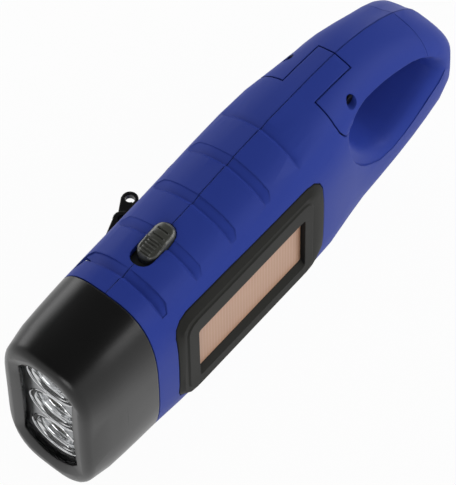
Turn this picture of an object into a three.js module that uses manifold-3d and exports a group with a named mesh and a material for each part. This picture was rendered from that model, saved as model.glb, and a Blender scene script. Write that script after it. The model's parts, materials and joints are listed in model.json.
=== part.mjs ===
// Hand crank torch with a solar cell, three lamps in the head and a snap hook in the tail.
// Millimetres, +Z up. The beam leaves along +X, the solar cell faces +Y and the crank lies on the -Y side.
// The origin lies on the ground under the middle of the torch's bounding box.
// Pieces are drawn from the head: x is 0 at the front rim and negative towards the tail, y is 0 on the seam
// between the two half shells, and z is 0 on the axis of the middle lamp.

import * as THREE from "three";
import { mergeVertices } from "three/addons/utils/BufferGeometryUtils.js";
import Module from "manifold-3d";

const wasm = await Module();
wasm.setup();

// Driving dimensions

const overallLength = 150;
const headLength = 24;
const gripHalfWidth = 16.9;
const gripHalfHeight = 32;
const neckHalfWidth = 16.3;
const neckHeightStep = 3; // the neck stands this much lower than the grip
const rimHeightStep = 5;
const tailHalfWidth = 13.8;
const bellyFlatCut = 2.2; // height taken off the belly by the flat that the torch stands on
const wall = 2;
const neckWall = 1.8;
const seatGap = 0.3; // between pieces that touch
const runningGap = 0.2; // between pieces that turn or slide on each other
const seamGap = 0.3;
const overrun = 3; // how far a cutter reaches past what it cuts
const weldReach = 1e-4;

// Stretches of the grip, from the front rim
const swellStartLength = 42;
const swellEndLength = 84;
const chamberLength = 95.5; // the hollow part, head included
const drawnTailLength = 54.5; // the tail that the hook's dimensions below are for
const gripRoundnessPower = 3;
const seamRidgeShare = 0.1; // how far the flanks fall away from the ridge at the seam
const lastRingShare = 0.004;
const cavityRings = 4;
const straightRings = 8;
const tailRings = 10;

// Head
const rimHalfWidth = 14.4;
const rimRound = 2.6;
const rimWaist = 0.5;
const headRoundnessPower = 3.2;
const windowHalfWidth = 8.7;
const windowHeightMargin = 6.2;
const windowArcRadius = 9.8;
const windowWaist = 0.5;
const windowSetBack = 0.9;
const windowLand = 0.7;
const lampEdgeMargin = 8.1; // from the window's end to the axis of the end lamps
const lensThickness = 0.8;
const lensBrim = 1.2;
const reflectorPlate = 1.2;
const cupSpreadShare = 0.583; // of the lamps' pitch, so that neighbouring cups run into each other
const cupWall = 0.8;
const cupDepth = 9.8;
const cupThroatRadius = 2.9;
const lampRadius = 2.5;
const lampFlangeRadius = 2.8;
const lampFlangeThickness = 0.8;
const lampLength = 8.2;
const lampBoardThickness = 1.4;
const waistSpreadRate = 1.8;
const windowFlare = 2.5;
const windowSideSteps = 7;
const rimRoundSteps = 4;
const headRings = 4;
const cupSteps = 6;
const cupBackShares = [0, 0.5, 1]; // of the cup's depth, for the rings of its back
const lampDomeSteps = 3;

// Grip ribs
const scoopCount = 5;
const firstScoop = 30.7;
const scoopPitch = 13.2;
const scoopRamp = 2.6;
const scoopStep = 0.9;
const scoopDepth = 0.8;
const scoopHalfSpan = 12.8;
const scoopSteps = 10;
const scoopFadeRate = 5;
const scoopEndShare = 0.5; // how much shorter a scoop gets at its ends

// Switch
const slotFront = 35;
const slotLength = 14.4;
const slotWidth = 6.4;
const buttonLength = 11.5;
const switchTravel = 2.4;
const skirtLap = 3; // how far the plate under the roof reaches past the button, along the slot
const skirtWidthMargin = 1.4;
const skirtThickness = 1;
const skirtDrop = 1.3; // from the roof's ridge, so that the plate clears the sloping roof
const buttonProfile = [
  [0, -0.3],
  [0.35, 0.8],
  [1.4, 1.5],
  [5.4, 1.45],
  [6.2, 1],
  [7.2, 0.75],
  [10.9, 0.3],
  [11.5, -0.1],
]; // from the rear end, and above the roof: a crown, then a saddle for the thumb
const crossGrooves = [3, 4.95];
const crossRibs = [7, 7.9, 8.9, 9.8, 10.7];
const crossMarkLength = 3.2;
const crossMarkWidth = 0.45;
const crossMarkDepth = 0.4;
const crossMarkRise = 0.3;
const leverWidth = 2;
const leverLength = 2.4;
const leverDepth = 2.2; // how far the lever reaches into the switch
const leverBite = 1.4; // how far it reaches into the button
const switchBodyLength = 12;
const switchBodyWidth = 6.4;
const switchBodyHeight = 4.6;
const boardThickness = 1.6;
const boardDrop = 11.8; // from the neck's top
const boardFront = 28;
const boardRear = 52;
const boardHalfWidth = 10.4;
const ledgeThickness = 1.5;
const ledgeReach = 1;
const ledgeLength = 4;
const ledgeFronts = [33, 46];
const rightLedgeLength = 2.8;
const stadiumSteps = 8;

// Solar panel
const cellLength = 40;
const cellEdgeMargin = 1.25; // from the cell to the opening at the lip
const cellThickness = 1.2;
const cellCorner = 0.6;
const cellCentre = 59.8;
const cellFace = 15.9; // from the seam
const panelLip = 17.3; // from the seam to the frame's outer face, the widest point on that side
const panelFront = 31.8;
const panelRear = 88;
const panelHeightMargin = 13.6; // from the grip's top and belly
const panelRise = 0.9; // of the base's middle above the middle lamp
const panelCorner = 5;
const panelLipFront = 34.6;
const panelLipRear = 83.6;
const panelLipMargin = 2.1;
const panelLipCorner = 4;
const wellFront = 38.6;
const wellRear = 80.1;
const wellLipMargin = 5.25;
const wellDrop = 0.95;
const panelTrayFloor = 1.2;
const panelTrayRim = 0.9; // how far the tray's rim reaches past its floor
const panelRimWall = 1.4;
const panelBulgeShare = 0.72; // how high the flank has risen halfway to the lip
const lipRound = 0.35;
const panelSideSteps = 6;
const panelCornerSteps = 3;
const clipLength = 6;
const clipSpread = 12;
const clipReach = 0.9;
const clipThickness = 1.1;
const clipDrop = 1.4;

// Snap hook in the tail, with its set-backs from the chamber's end
const tailEllipseSetBack = 8.5; // here the side view turns into the tail's half ellipse
const taperLead = 7.5; // the grip starts to narrow this far before the chamber's end
const taperEndSetBack = 18.5;
const tailRoundLength = 11; // the last stretch, where the tail also narrows in plan
const loopSetBack = 26.3;
const limbHeight = 10.1; // from the grip's top down to the loop
const loopHalfLength = 17.4;
const loopHalfHeight = 13.4;
const loopFlare = 4;
const pinSetBack = 11.1;
const pinDrop = 5.8;
const gatePinRadius = 1.5;
const heelRadius = 8.1;
const gateGap = 0.4;
const noseSetBack = 40.5;
const noseDrop = 13;
const gateNoseTilt = 6; // degrees from upright
const tongueWidth = 10;
const tongueSetBack = 17;
const lugRadius = 4;
const tongueThickness = 3.6;
const springWireRadius = 0.3;
const springRadius = 2.1;
const springTurns = 3;
const springPitch = 0.8;
const springLegFront = 7;
const springLegRear = 10;
const springClearance = 0.5;
const pinRecess = 4.2; // from the tail's half width
const gatePocketHalfWidth = 2.3;
const partingGroove = 0.5;
const loopOutline = [
  [0.96, 0.34],
  [0.955, 0.86],
  [0.75, 1.03],
  [0.305, 1.01],
  [-0.167, 0.84],
  [-0.572, 0.58],
  [-0.917, 0.06],
  [-0.967, -0.28],
  [-0.694, -0.536],
  [-0.25, -0.864],
  [0.194, -0.993],
  [0.556, -0.643],
  [0.817, -0.143],
]; // shares of the half length and half height
const loopSteps = 28;
const loopFlareStart = 8.5;
const loopFlareReach = 5;
const loopFlareSteps = 3;
const gateHeelSteps = 6;
const gateHeelTurn = 110;
const springSteps = 10;
const springPathSteps = 46;

// Crank
const crankSetBack = 23.5; // from the chamber's end
const crankArmThickness = 2.7;
const crankArmRadius = 18.5; // to the grip's pin
const crankArmEnd = 7.5; // how far the arm reaches past the pin
const crankArmHalfWidth = 4.5;
const crankArmTipHalfWidth = 5.2;
const crankHubRadius = 8;
const crankStandOff = 0.7;
const crankSlotLength = 9; // the slot that takes the grip's root, open at the tip
const crankReach = 27.1; // from the seam to the outermost point of the folded grip
const gripPinRadius = 0.9;
const gripPinSeam = 20.6; // from the seam
const gripEarRadius = 2.5;
const gripRootRadius = 1.9;
const gripLength = 7.75; // from the pin to the eye's centre
const gripWaistX = 2.7;
const gripWaistSeam = 24.4;
const gripNeckX = 6.6;
const gripNeckSeam = 26.8;
const gripInnerSeam = 22.5;
const gripThickness = 2.8;
const eyeRadius = 2.25;
const eyeHoleRadius = 1.3;
const eyeThickness = 1.8;
const crankShaftRadius = 2.4;
const crankShaftEndRadius = 1.2;
const shaftDriveFacets = 6;
const crankBushRadius = 4;
const bushFlangeRadius = 5.4;
const crankScrewHeadRadius = 3.6;
const crankScrewHeadHeight = 1.3;
const crankScrewShank = 1;
const crankScrewLength = 7;
const crankHubFloor = 1;

// Gear train
const coarseModule = 0.6;
const fineModule = 0.5;
const crankGearTeeth = 52;
const firstPinionTeeth = 12;
const firstWheelTeeth = 40;
const secondPinionTeeth = 10;
const secondWheelTeeth = 36;
const rotorPinionTeeth = 10;
const gearAxleRadius = 1;
const firstGearBearing = -30; // degrees in the side view, from the crank towards the first idler
const secondGearBearing = 75;
const rotorBearing = 160;
const tipShare = 0.2; // of the pitch, across a tooth's tip
const rootShare = 0.56; // of the pitch, across a tooth's root
const addendumShare = 0.95; // of the module
const dedendumShare = 1.25; // of the module
const plateThickness = 1.4;
const crankGearThickness = 2.4;
const wheelThickness = 1.8;
const layerGap = 0.6;
const firstPlateFace = -12.6; // the side of the plate next to the left shell
const pillarRadius = 2.2;
const pillarOffsets = [
  [-14.5, 12],
  [17, 17.4],
  [4, -18.6],
]; // from the crank's axis
const axleBossRadius = 3.4;
const pillarScrewRadius = 0.8;
const pillarScrewBite = 1.6;

// Generator
const statorRadius = 10.6;
const statorHeight = 8.6;
const statorWall = 1;
const rotorRadius = 6;
const rotorHeight = 5.4;
const coilWall = 2.6;
const coilHeight = 6;
const rotorShaftRadius = 0.75;

// Battery
const cellStackX = 34.7;
const cellStackRise = 16.3; // of the cells' axis above the belly flat
const batteryRadius = 7.6;
const batteryHeight = 5.6;
const batteryCount = 3;
const holderWall = 1.2;
const cradleHeight = 2; // of the cradle's edge above the cells' axis
const cradleRibHalfWidth = 2.5;

// Fasteners
const screwRadius = 1.1;
const screwHeadRadius = 2;
const screwHeadHeight = 1.4;
const screwBossRadius = 2.8;
const screwSink = 0.4;
const screwBite = 7; // past the seam, into the right shell
const screwDriveRadius = 0.9;
const screwDriveDepth = 0.8;
const driveShare = 0.6; // of the head's radius, for the arms of the cross recess
const frontScrewX = 29.4;
const frontScrewDrop = 6.6; // from the neck's top
const rearScrewSetBack = 4.1; // from the chamber's end
const rearScrewHeight = 20;
const lowerScrewX = 47;
const lowerScrewRise = 5.6;
const tailScrewInset = 5.6;
const tailScrewDrop = 2;

// Derived places, as distances from the front rim

const windowBack = windowSetBack + windowLand;
const lensFront = windowBack + seatGap;
const reflectorFront = lensFront + lensThickness + seatGap;
const cupEnd = reflectorFront + cupDepth;
const lampSeat = cupEnd + seatGap;
const lampBoardFront = lampSeat + lampFlangeThickness + seatGap;
const lampBoardBack = lampBoardFront + lampBoardThickness;
const neckFront = lampBoardBack + seatGap;
const gripStart = headLength + seatGap;
const neckHalfHeight = gripHalfHeight - neckHeightStep;
const rimHalfHeight = gripHalfHeight - rimHeightStep;
const windowHalfHeight = rimHalfHeight - windowHeightMargin;
const lampPitch = windowHalfHeight - lampEdgeMargin;
const cupRadius = lampPitch * cupSpreadShare;
const panelHalfHeight = gripHalfHeight - panelHeightMargin;
const panelLipHalfHeight = panelHalfHeight - panelLipMargin;
const wellHalfHeight = panelLipHalfHeight - wellLipMargin;
const cellHalfWidth = wellHalfHeight - cellEdgeMargin;
const bellyDepth = gripHalfHeight - bellyFlatCut;
const tailLength = overallLength - chamberLength;
const crankX = chamberLength - crankSetBack;
const pillarPlaces = pillarOffsets.map(([x, z]) => [x - crankX, z]);
const rearScrewX = chamberLength - rearScrewSetBack;
const hookShare = tailLength / drawnTailLength; // the hook grows and shrinks with the tail
const tailStart = chamberLength + tailEllipseSetBack * hookShare;
const taperStart = chamberLength - taperLead;
const taperEnd = chamberLength + taperEndSetBack * hookShare;
const tailRound = tailRoundLength * hookShare;
const loopCentre = chamberLength + loopSetBack * hookShare;
const loopReach = loopHalfLength * hookShare;
const loopRise = gripHalfHeight - limbHeight - loopHalfHeight;
const gatePinX = chamberLength + pinSetBack * hookShare;
const gatePinZ = gripHalfHeight - pinDrop;
const gateHeelRadius = heelRadius * hookShare;
const gateNoseX = chamberLength + noseSetBack * hookShare;
const noseMidHeight = gripHalfHeight - noseDrop;
const tongueEnd = chamberLength + tongueSetBack * hookShare;
const tongueFloor = gripHalfHeight - tongueThickness;
const gatePinHalfLength = tailHalfWidth - pinRecess;
const cellStackZ = cellStackRise - bellyDepth;
const boardFloor = neckHalfHeight - boardDrop;
const boardTop = boardFloor + boardThickness;
const shellScrewPlaces = [
  [-frontScrewX, neckHalfHeight - frontScrewDrop],
  [-rearScrewX, rearScrewHeight],
  [-rearScrewX, -rearScrewHeight],
  [-lowerScrewX, lowerScrewRise - bellyDepth],
  [-overallLength + tailScrewInset * hookShare, -tailScrewDrop],
];
const lampHeights = [lampPitch, 0, -lampPitch];

// Facets round a full turn
const bodyFacets = 44;
const cavityFacets = 24;
const fineFacets = 24;
const smallFacets = 16;
const tinyFacets = 8;

// Solids from three.js geometry

// Six times the volume that the faces enclose, negative when they face inwards
function enclosed(positions, faces) {
  const [a, b, c] = [new THREE.Vector3(), new THREE.Vector3(), new THREE.Vector3()];
  return range(faces.length / 3).reduce((sum, i) => {
    a.fromArray(positions, faces[3 * i] * 3);
    b.fromArray(positions, faces[3 * i + 1] * 3);
    c.fromArray(positions, faces[3 * i + 2] * 3);
    return sum + a.dot(b.cross(c));
  }, 0);
}

function solidOf(geometry) {
  const bare = new THREE.BufferGeometry();
  bare.setAttribute("position", geometry.getAttribute("position"));
  bare.setIndex(geometry.index);
  const welded = mergeVertices(bare, weldReach);
  const positions = new Float32Array(welded.attributes.position.array);
  const index = welded.index.array;
  const faces = [];
  for (let i = 0; i < index.length; i += 3) {
    const [a, b, c] = [index[i], index[i + 1], index[i + 2]];
    const isFace = a !== b && b !== c && c !== a;
    if (isFace) {
      faces.push(a, b, c);
    }
  }
  if (enclosed(positions, faces) < 0) {
    faces.reverse();
  }
  return new wasm.Manifold(
    new wasm.Mesh({ numProp: 3, vertProperties: positions, triVerts: new Uint32Array(faces) }),
  );
}

function geometryOf(solid) {
  const { numProp, vertProperties, triVerts } = solid.getMesh();
  const corners = new Float32Array(triVerts.length * 3);
  triVerts.forEach((vertex, corner) => {
    for (let k = 0; k < 3; k++) {
      corners[corner * 3 + k] = vertProperties[vertex * numProp + k];
    }
  });
  const geometry = new THREE.BufferGeometry();
  geometry.setAttribute("position", new THREE.BufferAttribute(corners, 3));
  geometry.computeVertexNormals();
  return geometry;
}

const joined = (...solids) => solids.flat().reduce((all, one) => all.add(one));
const cut = (solid, ...cutters) => cutters.flat().reduce((left, cutter) => left.subtract(cutter), solid);

function box([x0, x1], [y0, y1], [z0, z1]) {
  const geometry = new THREE.BoxGeometry(x1 - x0, y1 - y0, z1 - z0);
  return solidOf(geometry.translate((x0 + x1) / 2, (y0 + y1) / 2, (z0 + z1) / 2));
}

const drawnOut = (depth) => ({ depth, bevelEnabled: false, curveSegments: 1 });

// An outline in (x, z), drawn out along y
function prismY(shape, y0, y1) {
  const geometry = new THREE.ExtrudeGeometry(shape, drawnOut(y1 - y0));
  return solidOf(geometry.rotateX(Math.PI / 2).translate(0, y1, 0));
}

// An outline in (x, y), drawn out along z
function prismZ(shape, z0, z1) {
  const geometry = new THREE.ExtrudeGeometry(shape, drawnOut(z1 - z0));
  return solidOf(geometry.translate(0, 0, z0));
}

function pathOf(points) {
  return new THREE.Shape(points.map(([a, b]) => new THREE.Vector2(a, b)));
}

function circle(a, b, radius, facets = fineFacets) {
  return pathOf(
    Array.from({ length: facets }, (_, i) => {
      const turn = ((i + 0.5) / facets) * 2 * Math.PI;
      return [a + radius * Math.cos(turn), b + radius * Math.sin(turn)];
    }),
  );
}

const rodY = (x, z, radius, y0, y1, facets) => prismY(circle(x, z, radius, facets), y0, y1);
const rodZ = (x, y, radius, z0, z1, facets) => prismZ(circle(x, y, radius, facets), z0, z1);

// A closed skin through rings of equal point count, with a flat fan at each end
function loft(rings) {
  const count = rings[0].length;
  const positions = rings.flat().flatMap((p) => [p.x, p.y, p.z]);
  const faces = [];
  for (let i = 0; i + 1 < rings.length; i++) {
    for (let j = 0; j < count; j++) {
      const k = (j + 1) % count;
      const [a, b, c, d] = [i * count + j, i * count + k, (i + 1) * count + k, (i + 1) * count + j];
      faces.push(a, b, c, a, c, d);
    }
  }
  for (const [start, flip] of [[0, true], [(rings.length - 1) * count, false]]) {
    for (let j = 1; j + 1 < count; j++) {
      faces.push(start, start + (flip ? j + 1 : j), start + (flip ? j : j + 1));
    }
  }
  const geometry = new THREE.BufferGeometry();
  geometry.setAttribute("position", new THREE.Float32BufferAttribute(positions, 3));
  geometry.setIndex(faces);
  return solidOf(geometry);
}

const range = (count) => Array.from({ length: count }, (_, i) => i);
const mix = (a, b, share) => a + (b - a) * share;
const radians = (degrees) => (degrees * Math.PI) / 180;

function smoothShare(value, start, end) {
  const share = THREE.MathUtils.clamp((value - start) / (end - start), 0, 1);
  return share * share * (3 - 2 * share);
}

// The grip's outer form

function gripHalfSize(distance) {
  const swell = smoothShare(distance, swellStartLength, swellEndLength);
  const early = smoothShare(distance, headLength, swellStartLength);
  const taper = smoothShare(distance, taperStart, taperEnd);
  const width = mix(mix(neckHalfWidth, gripHalfWidth, early), tailHalfWidth, taper);
  const height = mix(neckHalfHeight, gripHalfHeight, swell);
  const past = Math.max(0, (distance - tailStart) / (overallLength - tailStart));
  const end = Math.max(0, (distance - overallLength + tailRound) / tailRound);
  return {
    width: width * Math.cbrt(1 - end ** 3),
    height: height * Math.sqrt(1 - past ** 2),
    belly: mix(height, gripHalfHeight, early) * Math.sqrt(1 - past ** 2),
  };
}

// One ring of the grip: a rounded rectangle with a ridge along the seam, inset by a wall
function gripRing(distance, inset, facets, x = -distance) {
  const { width, height, belly } = gripHalfSize(distance);
  const ridge = seamRidgeShare * smoothShare(distance, headLength, swellStartLength);
  return range(facets).map((i) => {
    const turn = (i / facets) * 2 * Math.PI;
    const [across, up] = [Math.cos(turn), Math.sin(turn)];
    const acrossShare = Math.sign(across) * Math.abs(across) ** (2 / gripRoundnessPower);
    const upShare = Math.sign(up) * Math.abs(up) ** (2 / gripRoundnessPower);
    const lean = 1 - ridge * Math.abs(acrossShare) * (1 - acrossShare ** 2);
    const half = up > 0 ? height : belly;
    return new THREE.Vector3(x, (width - inset) * acrossShare, (half - inset) * upShare * lean);
  });
}

function tailDistances(steps) {
  const reach = overallLength - tailStart;
  return range(steps).map((i) => tailStart + reach * Math.sin((i / steps) * (Math.PI / 2)));
}

function gripSkin() {
  const straight = range(straightRings).map((i) => mix(gripStart, tailStart, i / straightRings));
  const distances = [...straight, ...tailDistances(tailRings)];
  const rings = distances.map((distance) => gripRing(distance, 0, bodyFacets));
  const tip = overallLength - tailRound * lastRingShare;
  return loft([...rings, gripRing(tip, 0, bodyFacets, -overallLength)]);
}

// How far a point of the grip's skin lies from the seam, at a distance from the rim and a height
function gripSide(distance, z) {
  const { width, height, belly } = gripHalfSize(distance);
  const share = Math.min(1, Math.abs(z) / (z > 0 ? height : belly));
  return width * (1 - share ** gripRoundnessPower) ** (1 / gripRoundnessPower);
}

// A shallow scoop across the top of the grip: a step on the head side and a ramp towards the tail
function scoopCutter(distance) {
  const { width, height } = gripHalfSize(distance);
  const spanShare = scoopHalfSpan / width;
  const endTurn = Math.acos(spanShare ** (gripRoundnessPower / 2));
  const section = [
    [-scoopStep, overrun],
    [-scoopStep, 0],
    [0, -scoopDepth],
    [scoopRamp, 0],
    [scoopRamp, overrun],
  ];
  const rings = range(scoopSteps + 1).map((i) => {
    const share = i / scoopSteps;
    const turn = mix(endTurn, Math.PI - endTurn, share);
    const fade = Math.min(1, Math.sin(share * Math.PI) * scoopFadeRate);
    const [across, up] = [Math.cos(turn), Math.sin(turn)];
    const acrossShare = Math.sign(across) * Math.abs(across) ** (2 / gripRoundnessPower);
    const upShare = Math.abs(up) ** (2 / gripRoundnessPower);
    const lean = 1 - seamRidgeShare * Math.abs(acrossShare) * (1 - acrossShare ** 2);
    return section.map(([along, out]) => {
      const lift = out < 0 ? out * fade : out;
      const x = -distance - along * mix(1, fade, scoopEndShare);
      return new THREE.Vector3(x, (width + lift) * acrossShare, (height + lift) * upShare * lean);
    });
  });
  return loft(rings);
}

// Head

function headHalfSize(distance) {
  const back = THREE.MathUtils.clamp((distance - rimRound) / (headLength - rimRound), 0, 1);
  const front = Math.max(0, rimRound - distance);
  const edge = rimRound - Math.sqrt(rimRound ** 2 - front ** 2);
  return {
    width: mix(rimHalfWidth, neckHalfWidth, Math.sqrt(back)) - edge,
    height: mix(rimHalfHeight, neckHalfHeight, Math.sqrt(back)) - edge,
    waist: rimWaist * (1 - back),
    power: mix(headRoundnessPower, gripRoundnessPower, back),
  };
}

// One ring of the head: a rounded rectangle, slightly pinched at the sides towards the front
function headRing(distance, inset, facets, x = -distance) {
  const { width, height, waist, power } = headHalfSize(distance);
  return range(facets).map((i) => {
    const turn = (i / facets) * 2 * Math.PI;
    const [across, up] = [Math.cos(turn), Math.sin(turn)];
    const acrossShare = Math.sign(across) * Math.abs(across) ** (2 / power);
    const upShare = Math.sign(up) * Math.abs(up) ** (2 / power);
    const pinch = waist * Math.max(0, 1 - (upShare * waistSpreadRate) ** 2);
    return new THREE.Vector3(x, (width - inset - pinch) * acrossShare, (height - inset) * upShare);
  });
}

// The lamp window's outline, grown by a margin: arcs at top and bottom, and sides with a slight waist
function windowRing(distance, grow) {
  const [halfWidth, radius] = [windowHalfWidth + grow, windowArcRadius + grow];
  const arcCentre = windowHalfHeight + grow - radius;
  const cornerHeight = arcCentre + Math.sqrt(radius ** 2 - halfWidth ** 2);
  const firstTurn = Math.acos(halfWidth / radius);
  const quarter = range(windowSideSteps);
  const side = quarter.map((i) => {
    const up = mix(-1, 1, i / windowSideSteps);
    return [halfWidth - windowWaist * (1 - up ** 2), up * cornerHeight];
  });
  const arc = quarter.map((i) => {
    const turn = mix(firstTurn, Math.PI - firstTurn, i / windowSideSteps);
    return [radius * Math.cos(turn), arcCentre + radius * Math.sin(turn)];
  });
  const half = [...side, ...arc];
  return [...half, ...half.map(([y, z]) => [-y, -z])].map(([y, z]) => new THREE.Vector3(-distance, y, z));
}

function windowPlate(front, thickness, grow) {
  return loft([windowRing(front, grow), windowRing(front + thickness, grow)]);
}

function headBezel() {
  const rounded = range(rimRoundSteps).map((i) => {
    const turn = (i / rimRoundSteps) * (Math.PI / 2);
    return rimRound * (1 - Math.cos(turn));
  });
  const straight = range(headRings + 1).map((i) => mix(rimRound, headLength, i / headRings));
  const outer = loft([...rounded, ...straight].map((distance) => headRing(distance, 0, bodyFacets)));
  const pocketEnd = reflectorFront + reflectorPlate + seatGap;
  const hollowEnd = headLength + overrun;
  const hollow = loft(
    [pocketEnd, (pocketEnd + hollowEnd) / 2, hollowEnd].map((distance) =>
      headRing(distance, wall, cavityFacets),
    ),
  );
  const flare = windowFlare * (1 + rimRound / windowSetBack);
  const window = loft([
    windowRing(-rimRound, flare),
    windowRing(windowSetBack, 0),
    windowRing(windowBack + windowLand, 0),
  ]);
  const pocket = windowPlate(windowBack, pocketEnd - windowBack + windowLand, lensBrim + runningGap);
  return cut(outer, hollow, window, pocket);
}

const lens = () => windowPlate(lensFront, lensThickness, lensBrim);

// A solid turned about a lamp's axis, from [distance, radius] pairs
function turnedX(profile, y, z, facets) {
  const points = profile.map(([distance, radius]) => new THREE.Vector2(radius, -distance));
  const [first, last] = [points[0], points[points.length - 1]];
  const closed = [new THREE.Vector2(0, first.y), ...points, new THREE.Vector2(0, last.y)];
  return solidOf(new THREE.LatheGeometry(closed, facets).rotateZ(-Math.PI / 2).translate(0, y, z));
}

// Radius of the bright cup at a share of its depth, a parabola from the throat to the rim
function cupRadiusAt(share, extra = 0) {
  return Math.sqrt(mix(cupRadius ** 2, cupThroatRadius ** 2, share)) + extra;
}

function reflector() {
  const shares = range(cupSteps + 1).map((i) => i / cupSteps);
  const outside = cupBackShares.map((share) => [
    reflectorFront + share * cupDepth,
    cupRadiusAt(share, cupWall),
  ]);
  const inside = [
    [reflectorFront - overrun, cupRadius],
    ...shares.map((share) => [reflectorFront + share * cupDepth, cupRadiusAt(share)]),
    [cupEnd + overrun, cupThroatRadius],
  ];
  const block = joined(
    windowPlate(reflectorFront, reflectorPlate, lensBrim),
    lampHeights.map((z) => turnedX(outside, 0, z, smallFacets)),
  );
  return cut(block, lampHeights.map((z) => turnedX(inside, 0, z, fineFacets)));
}

function lamp(z) {
  const tip = lampSeat + lampFlangeThickness - lampLength;
  const dome = range(lampDomeSteps).map((i) => {
    const turn = ((i + 1) / (lampDomeSteps + 1)) * (Math.PI / 2);
    return [tip + lampRadius * (1 - Math.sin(turn)), lampRadius * Math.cos(turn)];
  });
  const profile = [
    ...dome.reverse(),
    [tip + lampRadius, lampRadius],
    [lampSeat, lampRadius],
    [lampSeat, lampFlangeRadius],
    [lampSeat + lampFlangeThickness, lampFlangeRadius],
  ];
  return turnedX(profile, 0, z, smallFacets);
}

function lampBoard() {
  const rings = [lampBoardFront, lampBoardBack].map((distance) =>
    headRing(distance, wall + seatGap, cavityFacets),
  );
  return loft(rings);
}

// Snap hook

function loopPoints(grow) {
  const handles = loopOutline.map(
    ([along, up]) => new THREE.Vector3(along * loopReach - loopCentre, 0, up * loopHalfHeight + loopRise),
  );
  const curve = new THREE.CatmullRomCurve3(handles, true, "centripetal");
  const points = curve.getPoints(loopSteps).slice(0, loopSteps);
  return points.map((point, i) => {
    const before = points[(i + loopSteps - 1) % loopSteps];
    const after = points[(i + 1) % loopSteps];
    const run = new THREE.Vector2(after.x - before.x, after.z - before.z).normalize();
    return [point.x + run.y * -grow, point.z + run.x * grow];
  });
}

// The opening of the hook, flared towards both faces
function loopCutter() {
  const flares = range(loopFlareSteps + 1).map((i) => {
    const turn = (i / loopFlareSteps) * (Math.PI / 2);
    return [loopFlareStart + loopFlareReach * Math.sin(turn), loopFlare * (1 - Math.cos(turn))];
  });
  const right = [...flares, [loopFlareStart + loopFlareReach + overrun, loopFlare]];
  const left = right.map(([y, grow]) => [-y, grow]).reverse();
  const rings = [...left, ...right].map(([y, grow]) =>
    loopPoints(-grow).map(([x, z]) => new THREE.Vector3(x, y, z)),
  );
  return loft(rings);
}

// The stretch of the hook that swings: from the heel round the pin to the nose, grown by a margin
function gateRegion(grow) {
  const radius = gateHeelRadius + grow;
  const above = gripHalfHeight + overrun;
  const lean = Math.tan(radians(gateNoseTilt));
  const noseAt = (z) => -gateNoseX - grow - (z - noseMidHeight) * lean;
  const heel = range(gateHeelSteps + 1).map((i) => {
    const turn = radians(-(i / gateHeelSteps) * gateHeelTurn);
    return [-gatePinX + radius * Math.cos(turn), gatePinZ + radius * Math.sin(turn)];
  });
  return prismY(
    pathOf([
      [-gatePinX + radius, above],
      ...heel,
      [-loopCentre, loopRise],
      [noseAt(loopRise), loopRise],
      [noseAt(above), above],
    ]),
    -gripHalfWidth,
    gripHalfWidth,
  );
}

const tailBlock = (skin) => cut(skin, loopCutter());

const forkSlot = (halfWidth, end) =>
  box([-end, -gatePinX + gateHeelRadius + overrun], [-halfWidth, halfWidth], [0, gripHalfHeight + overrun]);

function gate(skin) {
  const boreRadius = gatePinRadius + runningGap;
  const pinBore = rodY(-gatePinX, gatePinZ, boreRadius, -gripHalfWidth, gripHalfWidth, smallFacets);
  const legReach = springLegRear + springClearance;
  const legWall = springWireRadius + springClearance;
  const legY = (springTurns * springPitch) / 2;
  const legHole = box(
    [-gatePinX - legReach, -gatePinX],
    [legY - legWall, legY + legWall],
    [gatePinZ + springRadius - legWall, gatePinZ + springRadius + legWall],
  );
  const groove = cut(
    box([-overallLength, 0], [-seamGap / 2, seamGap / 2], [gatePinZ - gateHeelRadius, gripHalfHeight]),
    loft(
      [gatePinX - gateHeelRadius - overrun, tailStart, ...tailDistances(tailRings), gateNoseX + overrun]
        .sort((a, b) => a - b)
        .map((distance) => gripRing(distance, partingGroove, bodyFacets)),
    ),
  );
  return cut(
    tailBlock(skin).intersect(gateRegion(-gateGap / 2)),
    forkSlot(tongueWidth / 2 + seatGap, tongueEnd + gateGap),
    pinBore,
    legHole,
    groove,
  );
}

function gateTongue(skin) {
  const floor = pathOf([
    [-tongueEnd, tongueFloor],
    [-gatePinX + gateHeelRadius + overrun, tongueFloor],
    [-gatePinX + gateHeelRadius + overrun, gripHalfHeight + overrun],
    [-tongueEnd, gripHalfHeight + overrun],
  ]);
  const lug = rodY(-gatePinX, gatePinZ, lugRadius, -tongueWidth / 2, tongueWidth / 2, fineFacets);
  const strip = prismY(floor, -tongueWidth / 2, tongueWidth / 2);
  const pocketRadius = springRadius + springWireRadius + springClearance;
  const pocket = [-gatePocketHalfWidth, gatePocketHalfWidth];
  const legWall = springWireRadius + springClearance;
  return cut(
    joined(strip, lug).intersect(skin),
    rodY(-gatePinX, gatePinZ, gatePinRadius + seatGap, -tongueWidth, tongueWidth, smallFacets),
    rodY(-gatePinX, gatePinZ, pocketRadius, ...pocket, fineFacets),
    box([-gatePinX - pocketRadius, -gatePinX + pocketRadius], pocket, [gatePinZ - 2 * lugRadius, gatePinZ]),
    box(
      [-tongueEnd - overrun, -gatePinX + springLegFront + springClearance],
      [-gatePocketHalfWidth, gatePocketHalfWidth],
      [gatePinZ, gatePinZ + springRadius + legWall],
    ),
  );
}

const gatePin = () =>
  rodY(-gatePinX, gatePinZ, gatePinRadius, -gatePinHalfLength, gatePinHalfLength, smallFacets);

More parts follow.
